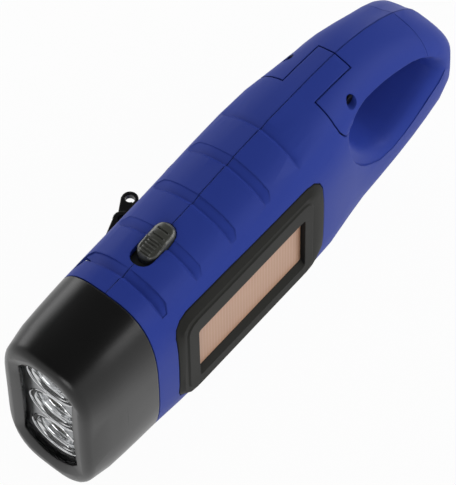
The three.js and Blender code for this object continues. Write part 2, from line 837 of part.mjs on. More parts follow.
// A torsion spring round the pin: one leg runs forward into the grip, the other back into the gate
function gateSpring() {
  const halfLength = (springTurns * springPitch) / 2;
  const top = gatePinZ + springRadius;
  const turns = range(springTurns * springSteps + 1).map((i) => {
    const share = i / (springTurns * springSteps);
    const turn = Math.PI / 2 + share * springTurns * 2 * Math.PI;
    return new THREE.Vector3(
      -gatePinX + springRadius * Math.cos(turn),
      mix(-halfLength, halfLength, share),
      gatePinZ + springRadius * Math.sin(turn),
    );
  });
  const path = new THREE.CatmullRomCurve3([
    new THREE.Vector3(-gatePinX + springLegFront * hookShare, -halfLength, top),
    ...turns,
    new THREE.Vector3(-gatePinX - springLegRear * hookShare, halfLength, top),
  ]);
  const shape = circle(0, 0, springWireRadius, shaftDriveFacets);
  const settings = { steps: springPathSteps, extrudePath: path, bevelEnabled: false, curveSegments: 1 };
  return solidOf(new THREE.ExtrudeGeometry(shape, settings));
}

// Solar panel

// A rounded rectangle in the side view with a fixed count of points, as [x, z]
function panelOutline(front, rear, halfHeight, corner, rise = 0) {
  const [left, right] = [-rear + corner, -front - corner];
  const [low, high] = [rise - halfHeight + corner, rise + halfHeight - corner];
  const corners = [
    [right, low, -Math.PI / 2],
    [right, high, 0],
    [left, high, Math.PI / 2],
    [left, low, Math.PI],
  ];
  return corners.flatMap(([x, z, start], i) => {
    const arc = range(panelCornerSteps + 1).map((k) => {
      const turn = start + (k / panelCornerSteps) * (Math.PI / 2);
      return [x + corner * Math.cos(turn), z + corner * Math.sin(turn)];
    });
    const last = arc[panelCornerSteps];
    const [nextX, nextZ, nextStart] = corners[(i + 1) % corners.length];
    const next = [nextX + corner * Math.cos(nextStart), nextZ + corner * Math.sin(nextStart)];
    const side = range(panelSideSteps - 1).map((k) => {
      const share = (k + 1) / panelSideSteps;
      return [mix(last[0], next[0], share), mix(last[1], next[1], share)];
    });
    return [...arc, ...side];
  });
}

const panelRing = (outline, heightAt) => outline.map(([x, z]) => new THREE.Vector3(x, heightAt(x, z), z));

function solarFrame() {
  const base = panelOutline(panelFront, panelRear, panelHalfHeight, panelCorner, panelRise);
  const lip = panelOutline(panelLipFront, panelLipRear, panelLipHalfHeight, panelLipCorner);
  const lipTop = panelOutline(
    panelLipFront + lipRound,
    panelLipRear - lipRound,
    panelLipHalfHeight - lipRound,
    panelLipCorner - lipRound,
  );
  const middle = base.map(([x, z], i) => [(x + lip[i][0]) / 2, (z + lip[i][1]) / 2]);
  const skinAt = (x, z) => gripSide(-x, z);
  const trayBack = cellFace - cellThickness - seatGap - panelTrayFloor;
  const block = loft([
    panelRing(base, () => trayBack - panelTrayRim),
    panelRing(base, skinAt),
    panelRing(middle, (x, z) => mix(skinAt(x, z), panelLip, panelBulgeShare)),
    panelRing(lip, () => panelLip - lipRound),
    panelRing(lipTop, () => panelLip),
  ]);
  const opening = panelOutline(wellFront, wellRear, wellHalfHeight, cellCorner + seatGap, -wellDrop);
  const well = loft([
    panelRing(cellOutline(seatGap), () => cellFace - cellThickness - seatGap),
    panelRing(cellOutline(seatGap), () => cellFace),
    panelRing(opening, () => panelLip),
    panelRing(opening, () => panelLip + overrun),
  ]);
  const backOutline = panelOutline(
    panelFront + panelRimWall,
    panelRear - panelRimWall,
    panelHalfHeight - panelRimWall,
    panelCorner - panelRimWall,
    panelRise,
  );
  const back = loft([
    panelRing(backOutline, () => trayBack - panelTrayRim - overrun),
    panelRing(backOutline, () => trayBack),
  ]);
  return joined(cut(block, well, back), panelClips(trayBack - panelTrayRim));
}

// Four clips behind the shell's wall
function panelClips(rimBack) {
  const centre = -(panelFront + panelRear) / 2;
  const clip = (x, side) => {
    const span = (inner, outer) => (side > 0 ? [inner, outer] : [-outer, -inner]);
    const along = [x - clipLength / 2, x + clipLength / 2];
    const edge = panelHalfHeight + panelRise * side;
    const stem = span(edge - panelRimWall, edge);
    const hook = span(edge - panelRimWall, edge + clipReach);
    return joined(
      box(along, [rimBack - clipDrop, rimBack + panelTrayRim], stem),
      box(along, [rimBack - clipDrop, rimBack - clipDrop + clipThickness], hook),
    );
  };
  return [-1, 1].flatMap((side) => [-1, 1].map((end) => clip(centre + end * clipSpread, side)));
}

function panelWindow() {
  const outline = panelOutline(
    panelFront - seatGap,
    panelRear + seatGap,
    panelHalfHeight + seatGap,
    panelCorner + seatGap,
    panelRise,
  );
  return loft([
    panelRing(outline, () => gripHalfWidth / 2),
    panelRing(outline, () => gripHalfWidth + overrun),
  ]);
}

function cellOutline(margin) {
  const [front, rear] = [cellCentre - cellLength / 2 - margin, cellCentre + cellLength / 2 + margin];
  return panelOutline(front, rear, cellHalfWidth + margin, cellCorner + margin);
}

function solarCell() {
  const outline = cellOutline(0);
  return loft([panelRing(outline, () => cellFace - cellThickness), panelRing(outline, () => cellFace)]);
}

// Switch

const buttonRear = slotFront + slotLength - runningGap;
const buttonFront = buttonRear - buttonLength;
const leverCentre = (buttonFront + buttonRear) / 2;
const roofHeight = gripHalfSize(leverCentre).height;
const skirtTop = roofHeight - wall - skirtDrop;
const skirtFloor = skirtTop - skirtThickness;
const switchFloor = boardTop + seatGap;
const switchTop = switchFloor + switchBodyHeight;

// A stadium in the top view from one distance to another
function stadium(front, rear, halfWidth) {
  const ends = [
    [-front - halfWidth, -Math.PI / 2],
    [-rear + halfWidth, Math.PI / 2],
  ];
  return pathOf(
    ends.flatMap(([x, start]) =>
      range(stadiumSteps + 1).map((i) => {
        const turn = start + (i / stadiumSteps) * Math.PI;
        return [x + halfWidth * Math.cos(turn), halfWidth * Math.sin(turn)];
      }),
    ),
  );
}

function slotCutter() {
  const halfWidth = slotWidth / 2;
  const outline = stadium(slotFront, slotFront + slotLength, halfWidth);
  return prismZ(outline, skirtTop, gripHalfHeight + overrun);
}

// Height of the button's top above the roof, at a distance from its rear end
function buttonRise(distance) {
  const next = buttonProfile.findIndex(([place]) => place > distance);
  const [[start, low], [end, high]] = buttonProfile.slice(next - 1, next + 1);
  return mix(low, high, (distance - start) / (end - start));
}

// A small bar across the button's middle
function crossMark(distance, depth, rise) {
  const top = roofHeight + buttonRise(distance);
  return box(
    [distance - buttonRear - crossMarkWidth / 2, distance - buttonRear + crossMarkWidth / 2],
    [-crossMarkLength / 2, crossMarkLength / 2],
    [top - depth, top + rise],
  );
}

function switchButton() {
  const halfWidth = slotWidth / 2 - runningGap;
  const top = buttonProfile.map(([distance, rise]) => [distance - buttonRear, roofHeight + rise]);
  const side = pathOf([[-buttonFront, skirtFloor], [-buttonRear, skirtFloor], ...top]);
  const post = prismY(side, -halfWidth, halfWidth).intersect(
    prismZ(stadium(buttonFront, buttonRear, halfWidth), skirtFloor - overrun, gripHalfHeight + overrun),
  );
  const skirt = prismZ(
    stadium(buttonFront - skirtLap, buttonRear + skirtLap, halfWidth + skirtWidthMargin),
    skirtFloor,
    skirtTop,
  );
  const ribs = crossRibs.map((distance) => crossMark(distance, crossMarkDepth, crossMarkRise));
  const grooves = crossGrooves.map((distance) => crossMark(distance, crossMarkDepth, overrun));
  return cut(
    joined(post, skirt, ...ribs),
    ...grooves,
    leverBox(seatGap, [skirtFloor - overrun, skirtFloor + leverBite + seatGap]),
  );
}

function leverBox(grow, heights) {
  return box(
    [-leverCentre - leverLength / 2 - grow, -leverCentre + leverLength / 2 + grow],
    [-leverWidth / 2 - grow, leverWidth / 2 + grow],
    heights,
  );
}

const switchLever = () => leverBox(0, [switchTop - leverDepth, skirtFloor + leverBite]);

function slideSwitch() {
  const centre = -leverCentre + switchTravel / 2;
  const body = box(
    [centre - switchBodyLength / 2, centre + switchBodyLength / 2],
    [-switchBodyWidth / 2, switchBodyWidth / 2],
    [switchFloor, switchTop],
  );
  const reach = leverLength / 2 + seatGap;
  const slot = box(
    [-leverCentre - reach, -leverCentre + switchTravel + reach],
    [-leverWidth / 2 - seatGap, leverWidth / 2 + seatGap],
    [switchTop - leverDepth - seatGap, switchTop + overrun],
  );
  return cut(body, slot);
}

const mainBoard = () =>
  box([-boardRear, -boardFront], [-boardHalfWidth, boardHalfWidth], [boardFloor, boardTop]);

// Crank, on the left side: y runs outwards to negative values

const crankAxis = [-crankX, 0];
const hubBack = -(gripHalfWidth + crankStandOff);
const hubFace = hubBack - crankArmThickness;
const tipX = -crankX + crankArmRadius;
const armEnd = tipX + crankArmEnd;
const eyeX = tipX - gripLength;
const eyeSeam = crankReach - eyeRadius;
const bushFace = hubBack + seatGap;
const plateBack = firstPlateFace + plateThickness;
const crankLayer = plateBack + layerGap;
const firstWheelLayer = crankLayer + crankGearThickness + layerGap;
const secondWheelLayer = firstWheelLayer + wheelThickness + layerGap;
const coverFace = secondWheelLayer + wheelThickness + layerGap;
const coverBack = coverFace + plateThickness;
const screwHeadSeat = hubBack - crankHubFloor;

function crankArm() {
  const outline = pathOf([
    [-crankX, -crankArmHalfWidth],
    [armEnd, -crankArmTipHalfWidth],
    [armEnd, crankArmTipHalfWidth],
    [-crankX, crankArmHalfWidth],
  ]);
  const slotHalfWidth = gripThickness / 2 + seatGap;
  const earWedge = [
    [armEnd, hubFace],
    [armEnd, hubBack],
    [tipX, hubBack],
    [tipX, -gripPinSeam - gripEarRadius],
  ];
  const ears = [pathOf(earWedge), circle(tipX, -gripPinSeam, gripEarRadius, smallFacets)].map((ear) =>
    prismZ(ear, -crankArmTipHalfWidth, crankArmTipHalfWidth),
  );
  const slot = box(
    [tipX - crankSlotLength, armEnd + overrun],
    [-crankReach, 0],
    [-slotHalfWidth, slotHalfWidth],
  );
  return cut(
    joined(
      prismY(outline, hubFace, hubBack),
      rodY(...crankAxis, crankHubRadius, hubFace, hubBack, bodyFacets),
      ...ears,
    ),
    slot,
    rodY(...crankAxis, crankShaftRadius + seatGap, hubFace - overrun, hubBack + overrun, shaftDriveFacets),
    rodY(...crankAxis, crankScrewHeadRadius + seatGap, hubFace - overrun, screwHeadSeat, fineFacets),
    rodZ(tipX, -gripPinSeam, gripPinRadius + seatGap, -crankHubRadius, crankHubRadius, smallFacets),
  );
}

function crankShaft() {
  const neckEnd = crankLayer - seatGap;
  const shaft = joined(
    rodY(...crankAxis, crankShaftRadius, hubBack - crankHubFloor / 2, bushFace, shaftDriveFacets),
    rodY(...crankAxis, crankShaftRadius, bushFace, neckEnd, smallFacets),
    rodY(...crankAxis, crankShaftRadius, neckEnd, firstWheelLayer - layerGap, shaftDriveFacets),
    rodY(...crankAxis, crankShaftEndRadius, firstWheelLayer - layerGap, coverBack, tinyFacets),
  );
  const bore = rodY(
    ...crankAxis,
    crankScrewShank + seatGap,
    hubFace,
    screwHeadSeat + crankScrewLength,
    tinyFacets,
  );
  return cut(shaft, bore);
}

function crankBush() {
  const shellInside = -(gripHalfWidth - wall) + seatGap;
  return cut(
    joined(
      rodY(...crankAxis, crankBushRadius, bushFace, shellInside, fineFacets),
      rodY(...crankAxis, bushFlangeRadius, shellInside, firstPlateFace - seatGap, fineFacets),
    ),
    rodY(...crankAxis, crankShaftRadius + runningGap, bushFace - overrun, firstPlateFace, smallFacets),
  );
}

function crankScrew() {
  const headFace = screwHeadSeat - seatGap - crankScrewHeadHeight;
  return cut(
    joined(
      rodY(...crankAxis, crankScrewHeadRadius, headFace, screwHeadSeat - seatGap, fineFacets),
      rodY(
        ...crankAxis,
        crankScrewShank,
        screwHeadSeat - seatGap,
        screwHeadSeat + crankScrewLength - seatGap,
        tinyFacets,
      ),
    ),
    crossSlot(...crankAxis, headFace, screwHeadRadius),
  );
}

// A cross recess for a driver, cut into a screw head whose face looks towards -y
function crossSlot(x, z, face, reach) {
  const half = screwDriveRadius / 2;
  const depths = [face - overrun, face + screwDriveDepth];
  return joined(
    box([x - reach * driveShare, x + reach * driveShare], depths, [z - half / 2, z + half / 2]),
    box([x - half / 2, x + half / 2], depths, [z - reach * driveShare, z + reach * driveShare]),
  );
}

function crankGrip() {
  const lever = pathOf([
    [tipX, -gripPinSeam - gripRootRadius],
    [tipX - gripWaistX, -gripWaistSeam],
    [tipX - gripNeckX, -gripNeckSeam],
    [eyeX, -eyeSeam],
    [tipX - gripNeckX, -gripInnerSeam],
    [tipX, -gripPinSeam + gripRootRadius],
  ]);
  const halfThickness = gripThickness / 2;
  const halfEye = eyeThickness / 2;
  return cut(
    joined(
      prismZ(lever, -halfThickness, halfThickness),
      rodZ(tipX, -gripPinSeam, gripRootRadius, -halfThickness, halfThickness, smallFacets),
      rodZ(eyeX, -eyeSeam, eyeRadius, -halfEye, halfEye, fineFacets),
    ),
    rodZ(eyeX, -eyeSeam, eyeHoleRadius, -halfEye - overrun, halfEye + overrun, fineFacets),
    rodZ(tipX, -gripPinSeam, gripPinRadius + runningGap, -crankHubRadius, crankHubRadius, smallFacets),
  );
}

const gripPin = () =>
  rodZ(tipX, -gripPinSeam, gripPinRadius, -crankArmTipHalfWidth, crankArmTipHalfWidth, smallFacets);

// Gear train

function placeFrom([x, z], distance, bearing) {
  return [x + distance * Math.cos(radians(bearing)), z + distance * Math.sin(radians(bearing))];
}

const coarseReach = ((crankGearTeeth + firstPinionTeeth) * coarseModule) / 2;
const middleReach = ((firstWheelTeeth + secondPinionTeeth) * fineModule) / 2;
const rotorReach = ((secondWheelTeeth + rotorPinionTeeth) * fineModule) / 2;
const firstAxis = placeFrom(crankAxis, coarseReach, firstGearBearing);
const secondAxis = placeFrom(firstAxis, middleReach, secondGearBearing);
const rotorAxis = placeFrom(secondAxis, rotorReach, rotorBearing);

// A toothed outline whose first tooth points along a bearing in radians
function gearShape([x, z], teeth, module, phase) {
  const pitchRadius = (teeth * module) / 2;
  const [tip, root] = [pitchRadius + addendumShare * module, pitchRadius - dedendumShare * module];
  const pitch = (2 * Math.PI) / teeth;
  const at = (radius, turn) => [x + radius * Math.cos(turn), z + radius * Math.sin(turn)];
  return pathOf(
    range(teeth).flatMap((i) => {
      const centre = phase + i * pitch;
      const [tipHalf, rootHalf] = [tipShare, rootShare].map((share) => (share * pitch) / 2);
      return [
        at(root, centre - rootHalf),
        at(tip, centre - tipHalf),
        at(tip, centre + tipHalf),
        at(root, centre + rootHalf),
      ];
    }),
  );
}

// The phase that sets a follower's gap opposite a driver's tooth
function meshPhase(bearing, driverTeeth, driverPhase, teeth) {
  const turn = radians(bearing);
  return turn + Math.PI - Math.PI / teeth + ((turn - driverPhase) * driverTeeth) / teeth;
}

function crankGear() {
  const wheel = prismY(
    gearShape(crankAxis, crankGearTeeth, coarseModule, 0),
    crankLayer,
    crankLayer + crankGearThickness,
  );
  return cut(
    wheel,
    rodY(...crankAxis, crankShaftRadius + seatGap, plateBack, firstWheelLayer, shaftDriveFacets),
  );
}

// An idler: a wheel and a smaller pinion on one bore
function idler(axis, pinion, pinionLayer, pinionEnd, wheel, wheelLayer) {
  return cut(
    joined(
      prismY(pinion, pinionLayer, pinionEnd),
      prismY(wheel, wheelLayer, wheelLayer + wheelThickness),
    ),
    rodY(...axis, gearAxleRadius + runningGap, firstPlateFace, coverBack, tinyFacets),
  );
}

function firstIdler() {
  const pinionPhase = meshPhase(firstGearBearing, crankGearTeeth, 0, firstPinionTeeth);
  return idler(
    firstAxis,
    gearShape(firstAxis, firstPinionTeeth, coarseModule, pinionPhase),
    crankLayer,
    firstWheelLayer,
    gearShape(firstAxis, firstWheelTeeth, fineModule, radians(secondGearBearing)),
    firstWheelLayer,
  );
}

function secondIdler() {
  const pinionPhase = meshPhase(
    secondGearBearing,
    firstWheelTeeth,
    radians(secondGearBearing),
    secondPinionTeeth,
  );
  return idler(
    secondAxis,
    gearShape(secondAxis, secondPinionTeeth, fineModule, pinionPhase),
    firstWheelLayer,
    secondWheelLayer,
    gearShape(secondAxis, secondWheelTeeth, fineModule, radians(rotorBearing)),
    secondWheelLayer,
  );
}

const firstAxle = () => rodY(...firstAxis, gearAxleRadius, firstPlateFace, coverBack, tinyFacets);
const secondAxle = () => rodY(...secondAxis, gearAxleRadius, firstPlateFace, coverBack, tinyFacets);

const plateHoles = (from, to) => [
  rodY(...crankAxis, crankShaftRadius + seatGap, from, to, smallFacets),
  rodY(...firstAxis, gearAxleRadius + seatGap, from, to, tinyFacets),
  rodY(...secondAxis, gearAxleRadius + seatGap, from, to, tinyFacets),
];

function plate(from, to) {
  const outline = pathOf([pillarPlaces[0], pillarPlaces[2], firstAxis, secondAxis, pillarPlaces[1]]);
  return joined(
    prismY(outline, from, to),
    pillarPlaces.map((place) => rodY(...place, pillarRadius, from, to, smallFacets)),
    [firstAxis, secondAxis].map((place) => rodY(...place, axleBossRadius, from, to, smallFacets)),
  );
}

const pillarBores = (from, to) =>
  pillarPlaces.map((place) => rodY(...place, pillarScrewRadius + seatGap, from, to, tinyFacets));

function gearboxFrame() {
  const pillars = pillarPlaces.map((place) =>
    rodY(...place, pillarRadius, firstPlateFace, coverFace - seatGap, smallFacets),
  );
  const [from, to] = [firstPlateFace - overrun, coverBack + overrun];
  return cut(
    joined(plate(firstPlateFace, plateBack), pillars),
    plateHoles(from, to),
    pillarBores(from, to),
  );
}

function gearboxCover() {
  const [from, to] = [coverFace - overrun, coverBack + overrun];
  return cut(
    plate(coverFace, coverBack),
    [
      rodY(...crankAxis, crankShaftEndRadius + seatGap, from, to, tinyFacets),
      rodY(...firstAxis, gearAxleRadius + seatGap, from, to, tinyFacets),
      rodY(...secondAxis, gearAxleRadius + seatGap, from, to, tinyFacets),
      rodY(...rotorAxis, rotorShaftRadius + seatGap, from, to, tinyFacets),
    ],
    pillarBores(from, to),
  );
}

function gearboxScrew([x, z]) {
  const seat = coverBack + seatGap;
  return joined(
    rodY(x, z, screwHeadRadius, seat, seat + screwHeadHeight, smallFacets),
    rodY(x, z, pillarScrewRadius, firstPlateFace - seatGap - pillarScrewBite, seat, tinyFacets),
  );
}

// Generator

const statorFace = coverBack + seatGap;
const statorBack = statorFace + statorHeight;
const magnetFace = statorFace + (coilHeight - rotorHeight) / 2 + seatGap;

function statorCan() {
  const inside = statorRadius - statorWall;
  return cut(
    rodY(...rotorAxis, statorRadius, statorFace, statorBack, bodyFacets),
    rodY(...rotorAxis, inside, statorFace - overrun, statorBack - statorWall, cavityFacets),
    rodY(...rotorAxis, rotorShaftRadius + seatGap, statorFace, statorBack + overrun, tinyFacets),
  );
}

function coil() {
  const outside = statorRadius - statorWall - seatGap;
  return cut(
    rodY(...rotorAxis, outside, statorFace, statorFace + coilHeight, cavityFacets),
    rodY(...rotorAxis, outside - coilWall, statorFace - overrun, statorBack, cavityFacets),
  );
}

function magnet() {
  return cut(
    rodY(...rotorAxis, rotorRadius, magnetFace, magnetFace + rotorHeight, fineFacets),
    rodY(...rotorAxis, rotorShaftRadius + seatGap, statorFace - overrun, statorBack, tinyFacets),
  );
}

function rotorShaft() {
  const phase = meshPhase(rotorBearing, secondWheelTeeth, radians(rotorBearing), rotorPinionTeeth);
  return joined(
    prismY(
      gearShape(rotorAxis, rotorPinionTeeth, fineModule, phase),
      secondWheelLayer,
      secondWheelLayer + wheelThickness,
    ),
    rodY(...rotorAxis, rotorShaftRadius, secondWheelLayer, statorBack, tinyFacets),
  );
}

// Battery

const stackHalfLength = (batteryCount * batteryHeight + (batteryCount - 1) * seatGap) / 2;

function battery(i) {
  const start = -stackHalfLength + i * (batteryHeight + seatGap);
  return rodY(-cellStackX, cellStackZ, batteryRadius, start, start + batteryHeight, cavityFacets);
}

function batteryHolder() {
  const inside = batteryRadius + seatGap;
  const halfBay = stackHalfLength + seatGap;
  const halfLength = halfBay + holderWall;
  return cut(
    rodY(-cellStackX, cellStackZ, inside + holderWall, -halfLength, halfLength, cavityFacets),
    rodY(-cellStackX, cellStackZ, inside, -halfBay, halfBay, cavityFacets),
    box(
      [-cellStackX - 2 * batteryRadius, -cellStackX + 2 * batteryRadius],
      [-halfLength - overrun, halfLength + overrun],
      [cellStackZ + cradleHeight, cellStackZ + 2 * batteryRadius],
    ),
  );
}

// Half shells

function shellSkin() {
  const neck = loft(
    [lampBoardBack + seatGap, (neckFront + headLength) / 2, gripStart + wall].map((distance) =>
      headRing(Math.min(distance, headLength), wall + seatGap, cavityFacets, -distance),
    ),
  );
  return joined(gripSkin(), neck);
}

function shellCavity() {
  const neckInset = wall + seatGap + neckWall;
  const neckDistances = [neckFront - overrun, (neckFront + headLength) / 2, gripStart + wall + overrun];
  const neck = loft(
    neckDistances.map((distance) =>
      headRing(Math.min(distance, headLength), neckInset, cavityFacets, -distance),
    ),
  );
  const grip = loft(
    range(cavityRings + 1).map((i) =>
      gripRing(mix(gripStart + wall, chamberLength, i / cavityRings), wall, cavityFacets),
    ),
  );
  const floor = box(
    [-overallLength, 0],
    [-gripHalfWidth, gripHalfWidth],
    [-2 * gripHalfHeight, -bellyDepth + wall],
  );
  return joined(neck, cut(grip, floor));
}

const headFaceAt = ([x, z]) => -gripSide(-x, Math.abs(z) + screwHeadRadius) + screwSink;

function shellScrew(place) {
  const face = headFaceAt(place);
  return cut(
    joined(
      rodY(...place, screwHeadRadius, face, face + screwHeadHeight, smallFacets),
      rodY(...place, screwRadius, face + screwHeadHeight / 2, screwBite, tinyFacets),
    ),
    crossSlot(...place, face, screwHeadRadius),
  );
}

const half = (side) =>
  box(
    [-overallLength - overrun, overrun],
    side < 0 ? [-gripHalfWidth * 2, -seamGap / 2] : [seamGap / 2, gripHalfWidth * 2],
    [-2 * gripHalfHeight, 2 * gripHalfHeight],
  );

function boardLedge(front, length, side) {
  const inner = boardHalfWidth - ledgeReach;
  const span = side < 0 ? [-gripHalfWidth, -inner] : [inner, gripHalfWidth];
  const top = boardFloor - seatGap;
  return box([-front - length, -front], span, [top - ledgeThickness, top]);
}

function cradleRib(side) {
  const reach = gripHalfWidth * side;
  const inner = (holderWall + seamGap) * side;
  return box(
    [-cellStackX - cradleRibHalfWidth, -cellStackX + cradleRibHalfWidth],
    [Math.min(reach, inner), Math.max(reach, inner)],
    [-bellyDepth, cellStackZ - batteryRadius - 2 * seatGap - holderWall],
  );
}

function shellInserts(side) {
  const bosses = shellScrewPlaces.map((place) =>
    rodY(...place, screwBossRadius, -gripHalfWidth, gripHalfWidth, smallFacets),
  );
  const posts = pillarPlaces.map((place) =>
    rodY(...place, pillarRadius, -gripHalfWidth, firstPlateFace - seatGap, smallFacets),
  );
  const ledges =
    side < 0
      ? ledgeFronts.map((front) => boardLedge(front, ledgeLength, side))
      : [boardLedge(boardFront, rightLedgeLength, side)];
  return joined(bosses, ledges, cradleRib(side), side < 0 ? posts : []);
}

function shellBores(side) {
  const screws = shellScrewPlaces.flatMap((place) => {
    const seat = headFaceAt(place) + screwHeadHeight + seatGap;
    const shank = rodY(...place, screwRadius + seatGap, -gripHalfWidth, screwBite + seatGap, tinyFacets);
    const head = rodY(...place, screwHeadRadius + seatGap, -gripHalfWidth - overrun, seat, smallFacets);
    return side < 0 ? [shank, head] : [shank];
  });
  const posts = pillarPlaces.map((place) =>
    rodY(
      ...place,
      pillarScrewRadius + seatGap,
      firstPlateFace - 2 * seatGap - pillarScrewBite,
      firstPlateFace,
      tinyFacets,
    ),
  );
  const bush = rodY(
    ...crankAxis,
    crankBushRadius + seatGap,
    -gripHalfWidth - overrun,
    firstPlateFace,
    fineFacets,
  );
  return side < 0 ? [...screws, ...posts, bush] : screws;
}

function halfShell(side, skin, inside) {
  const scoops = range(scoopCount).map((i) => scoopCutter(firstScoop + i * scoopPitch));
  const belly = box(
    [-overallLength, 0],
    [-gripHalfWidth, gripHalfWidth],
    [-2 * gripHalfHeight, -bellyDepth],
  );
  const hollow = cut(skin, inside);
  const tail = cut(tailBlock(hollow), gateRegion(gateGap / 2));
  const outside = cut(skin, belly);
  return cut(
    joined(tail, gateTongue(skin), shellInserts(side).intersect(outside)),
    belly,
    scoops,
    slotCutter(),
    shellBores(side),
    side > 0 ? [panelWindow()] : [],
  ).intersect(half(side));
}

// Assembly

const skin = shellSkin();
const inside = shellCavity();

const finishes = {
  blueShell: [0x2f3f93, 0.45, 0],
  blackPlastic: [0x2b2b2d, 0.5, 0],
  clearLens: [0xdfe9f2, 0.05, 0],
  brightReflector: [0xd5d8dc, 0.12, 0.9],
  lampBody: [0xe8eef6, 0.15, 0],
  greenBoard: [0x1f5b34, 0.6, 0],
  solarGlass: [0xb9947c, 0.35, 0],
  whitePlastic: [0xd9d9d4, 0.6, 0],
  steel: [0xb4b6b8, 0.35, 0.9],
  greyMetal: [0x8c8f93, 0.4, 0.8],
  copper: [0xa85f32, 0.4, 0.8],
  darkMagnet: [0x3a3b3f, 0.5, 0.4],
};

const pieces = {
  head_bezel: [headBezel(), "blackPlastic"],
  lens: [lens(), "clearLens"],
  reflector: [reflector(), "brightReflector"],
  led_1: [lamp(lampHeights[0]), "lampBody"],
  led_2: [lamp(lampHeights[1]), "lampBody"],
  led_3: [lamp(lampHeights[2]), "lampBody"],
  led_board: [lampBoard(), "greenBoard"],
  left_shell: [halfShell(-1, skin, inside), "blueShell"],
  right_shell: [halfShell(1, skin, inside), "blueShell"],
  solar_frame: [solarFrame(), "blackPlastic"],
  solar_cell: [solarCell(), "solarGlass"],
  switch_button: [switchButton(), "blackPlastic"],
  switch_lever: [switchLever(), "whitePlastic"],
  slide_switch: [slideSwitch(), "greyMetal"],
  main_board: [mainBoard(), "greenBoard"],
  battery_holder: [batteryHolder(), "blackPlastic"],
  battery_cell_1: [battery(0), "steel"],
  battery_cell_2: [battery(1), "steel"],
  battery_cell_3: [battery(2), "steel"],
  gate: [gate(skin), "blueShell"],
  gate_pin: [gatePin(), "steel"],
  gate_spring: [gateSpring(), "steel"],
  crank_arm: [crankArm(), "blackPlastic"],
  crank_grip: [crankGrip(), "blackPlastic"],
  grip_pin: [gripPin(), "steel"],
  crank_screw: [crankScrew(), "steel"],
  crank_shaft: [crankShaft(), "steel"],
  crank_bush: [crankBush(), "whitePlastic"],
  crank_gear: [crankGear(), "whitePlastic"],
  idler_gear_1: [firstIdler(), "whitePlastic"],
  idler_axle_1: [firstAxle(), "steel"],
  idler_gear_2: [secondIdler(), "whitePlastic"],
  idler_axle_2: [secondAxle(), "steel"],
  rotor_shaft: [rotorShaft(), "steel"],
  rotor_magnet: [magnet(), "darkMagnet"],
  stator_can: [statorCan(), "greyMetal"],
  coil: [coil(), "copper"],
  gearbox_frame: [gearboxFrame(), "blackPlastic"],
  gearbox_cover: [gearboxCover(), "blackPlastic"],
  gearbox_screw_1: [gearboxScrew(pillarPlaces[0]), "steel"],
  gearbox_screw_2: [gearboxScrew(pillarPlaces[1]), "steel"],
  gearbox_screw_3: [gearboxScrew(pillarPlaces[2]), "steel"],
};

shellScrewPlaces.forEach((place, i) => {
  pieces[`shell_screw_${i + 1}`] = [shellScrew(place), "steel"];
});

const torch = new THREE.Group();
torch.name = "torch";
torch.position.set(overallLength / 2, (crankReach - panelLip) / 2, bellyDepth);

for (const [name, [solid, finish]] of Object.entries(pieces)) {
  const [color, roughness, metalness] = finishes[finish];
  const material = new THREE.MeshStandardMaterial({ color, roughness, metalness });
  material.name = finish;
  const mesh = new THREE.Mesh(geometryOf(solid), material);
  mesh.name = name;
  torch.add(mesh);
}

const part = new THREE.Group();
part.name = "hand_crank_torch";
part.add(torch);

export default part;
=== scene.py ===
# %% [markdown]
# # A hand crank torch, dressed over its solid model
# The solid model comes first: every shell, gear and pin already stands where it belongs, and the
# moving pieces hang on named bodies. This lesson adds what the eye sees: rounded skins, moulded
# plastic, bright cups, lamps, light and a camera. Units are metres, the beam leaves along +X, the
# solar cell faces +Y and the thumb switch is on top.

import json
import math

import bmesh
import bpy
from mathutils import Matrix, Vector


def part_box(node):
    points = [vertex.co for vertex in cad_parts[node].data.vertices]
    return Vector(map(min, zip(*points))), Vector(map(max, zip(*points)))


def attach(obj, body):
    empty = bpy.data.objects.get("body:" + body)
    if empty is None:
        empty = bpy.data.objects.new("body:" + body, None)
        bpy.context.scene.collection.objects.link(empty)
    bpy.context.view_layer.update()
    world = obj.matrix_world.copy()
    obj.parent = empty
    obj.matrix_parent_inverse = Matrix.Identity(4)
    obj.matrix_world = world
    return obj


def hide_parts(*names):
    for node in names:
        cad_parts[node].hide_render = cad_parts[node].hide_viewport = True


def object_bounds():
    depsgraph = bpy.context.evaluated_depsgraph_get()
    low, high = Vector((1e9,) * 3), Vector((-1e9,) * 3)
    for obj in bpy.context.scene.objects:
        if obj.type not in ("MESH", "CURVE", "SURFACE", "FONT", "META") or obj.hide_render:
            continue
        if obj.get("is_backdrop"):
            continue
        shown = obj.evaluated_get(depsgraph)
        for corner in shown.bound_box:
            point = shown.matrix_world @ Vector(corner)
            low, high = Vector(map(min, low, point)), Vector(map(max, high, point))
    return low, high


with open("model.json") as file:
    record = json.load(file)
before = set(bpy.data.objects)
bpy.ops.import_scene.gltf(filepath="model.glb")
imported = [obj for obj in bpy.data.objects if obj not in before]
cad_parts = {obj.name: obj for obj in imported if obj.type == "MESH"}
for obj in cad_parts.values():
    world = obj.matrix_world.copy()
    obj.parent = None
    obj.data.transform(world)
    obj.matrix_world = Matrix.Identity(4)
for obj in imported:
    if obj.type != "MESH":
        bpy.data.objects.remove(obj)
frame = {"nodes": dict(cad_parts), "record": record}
mm = 0.001
cad_low, cad_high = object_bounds()
print("solid model box in mm:", [round(x / mm, 1) for x in (*cad_low, *cad_high)])

# %% [markdown]
# ## Camera
# A photograph taken with a long lens shows almost no perspective. The camera is put where one
# stood: round the torch from its front right, well above it, and slightly rolled. The lens shift
# slides the picture so that the torch sits in the frame as it does in the photograph.

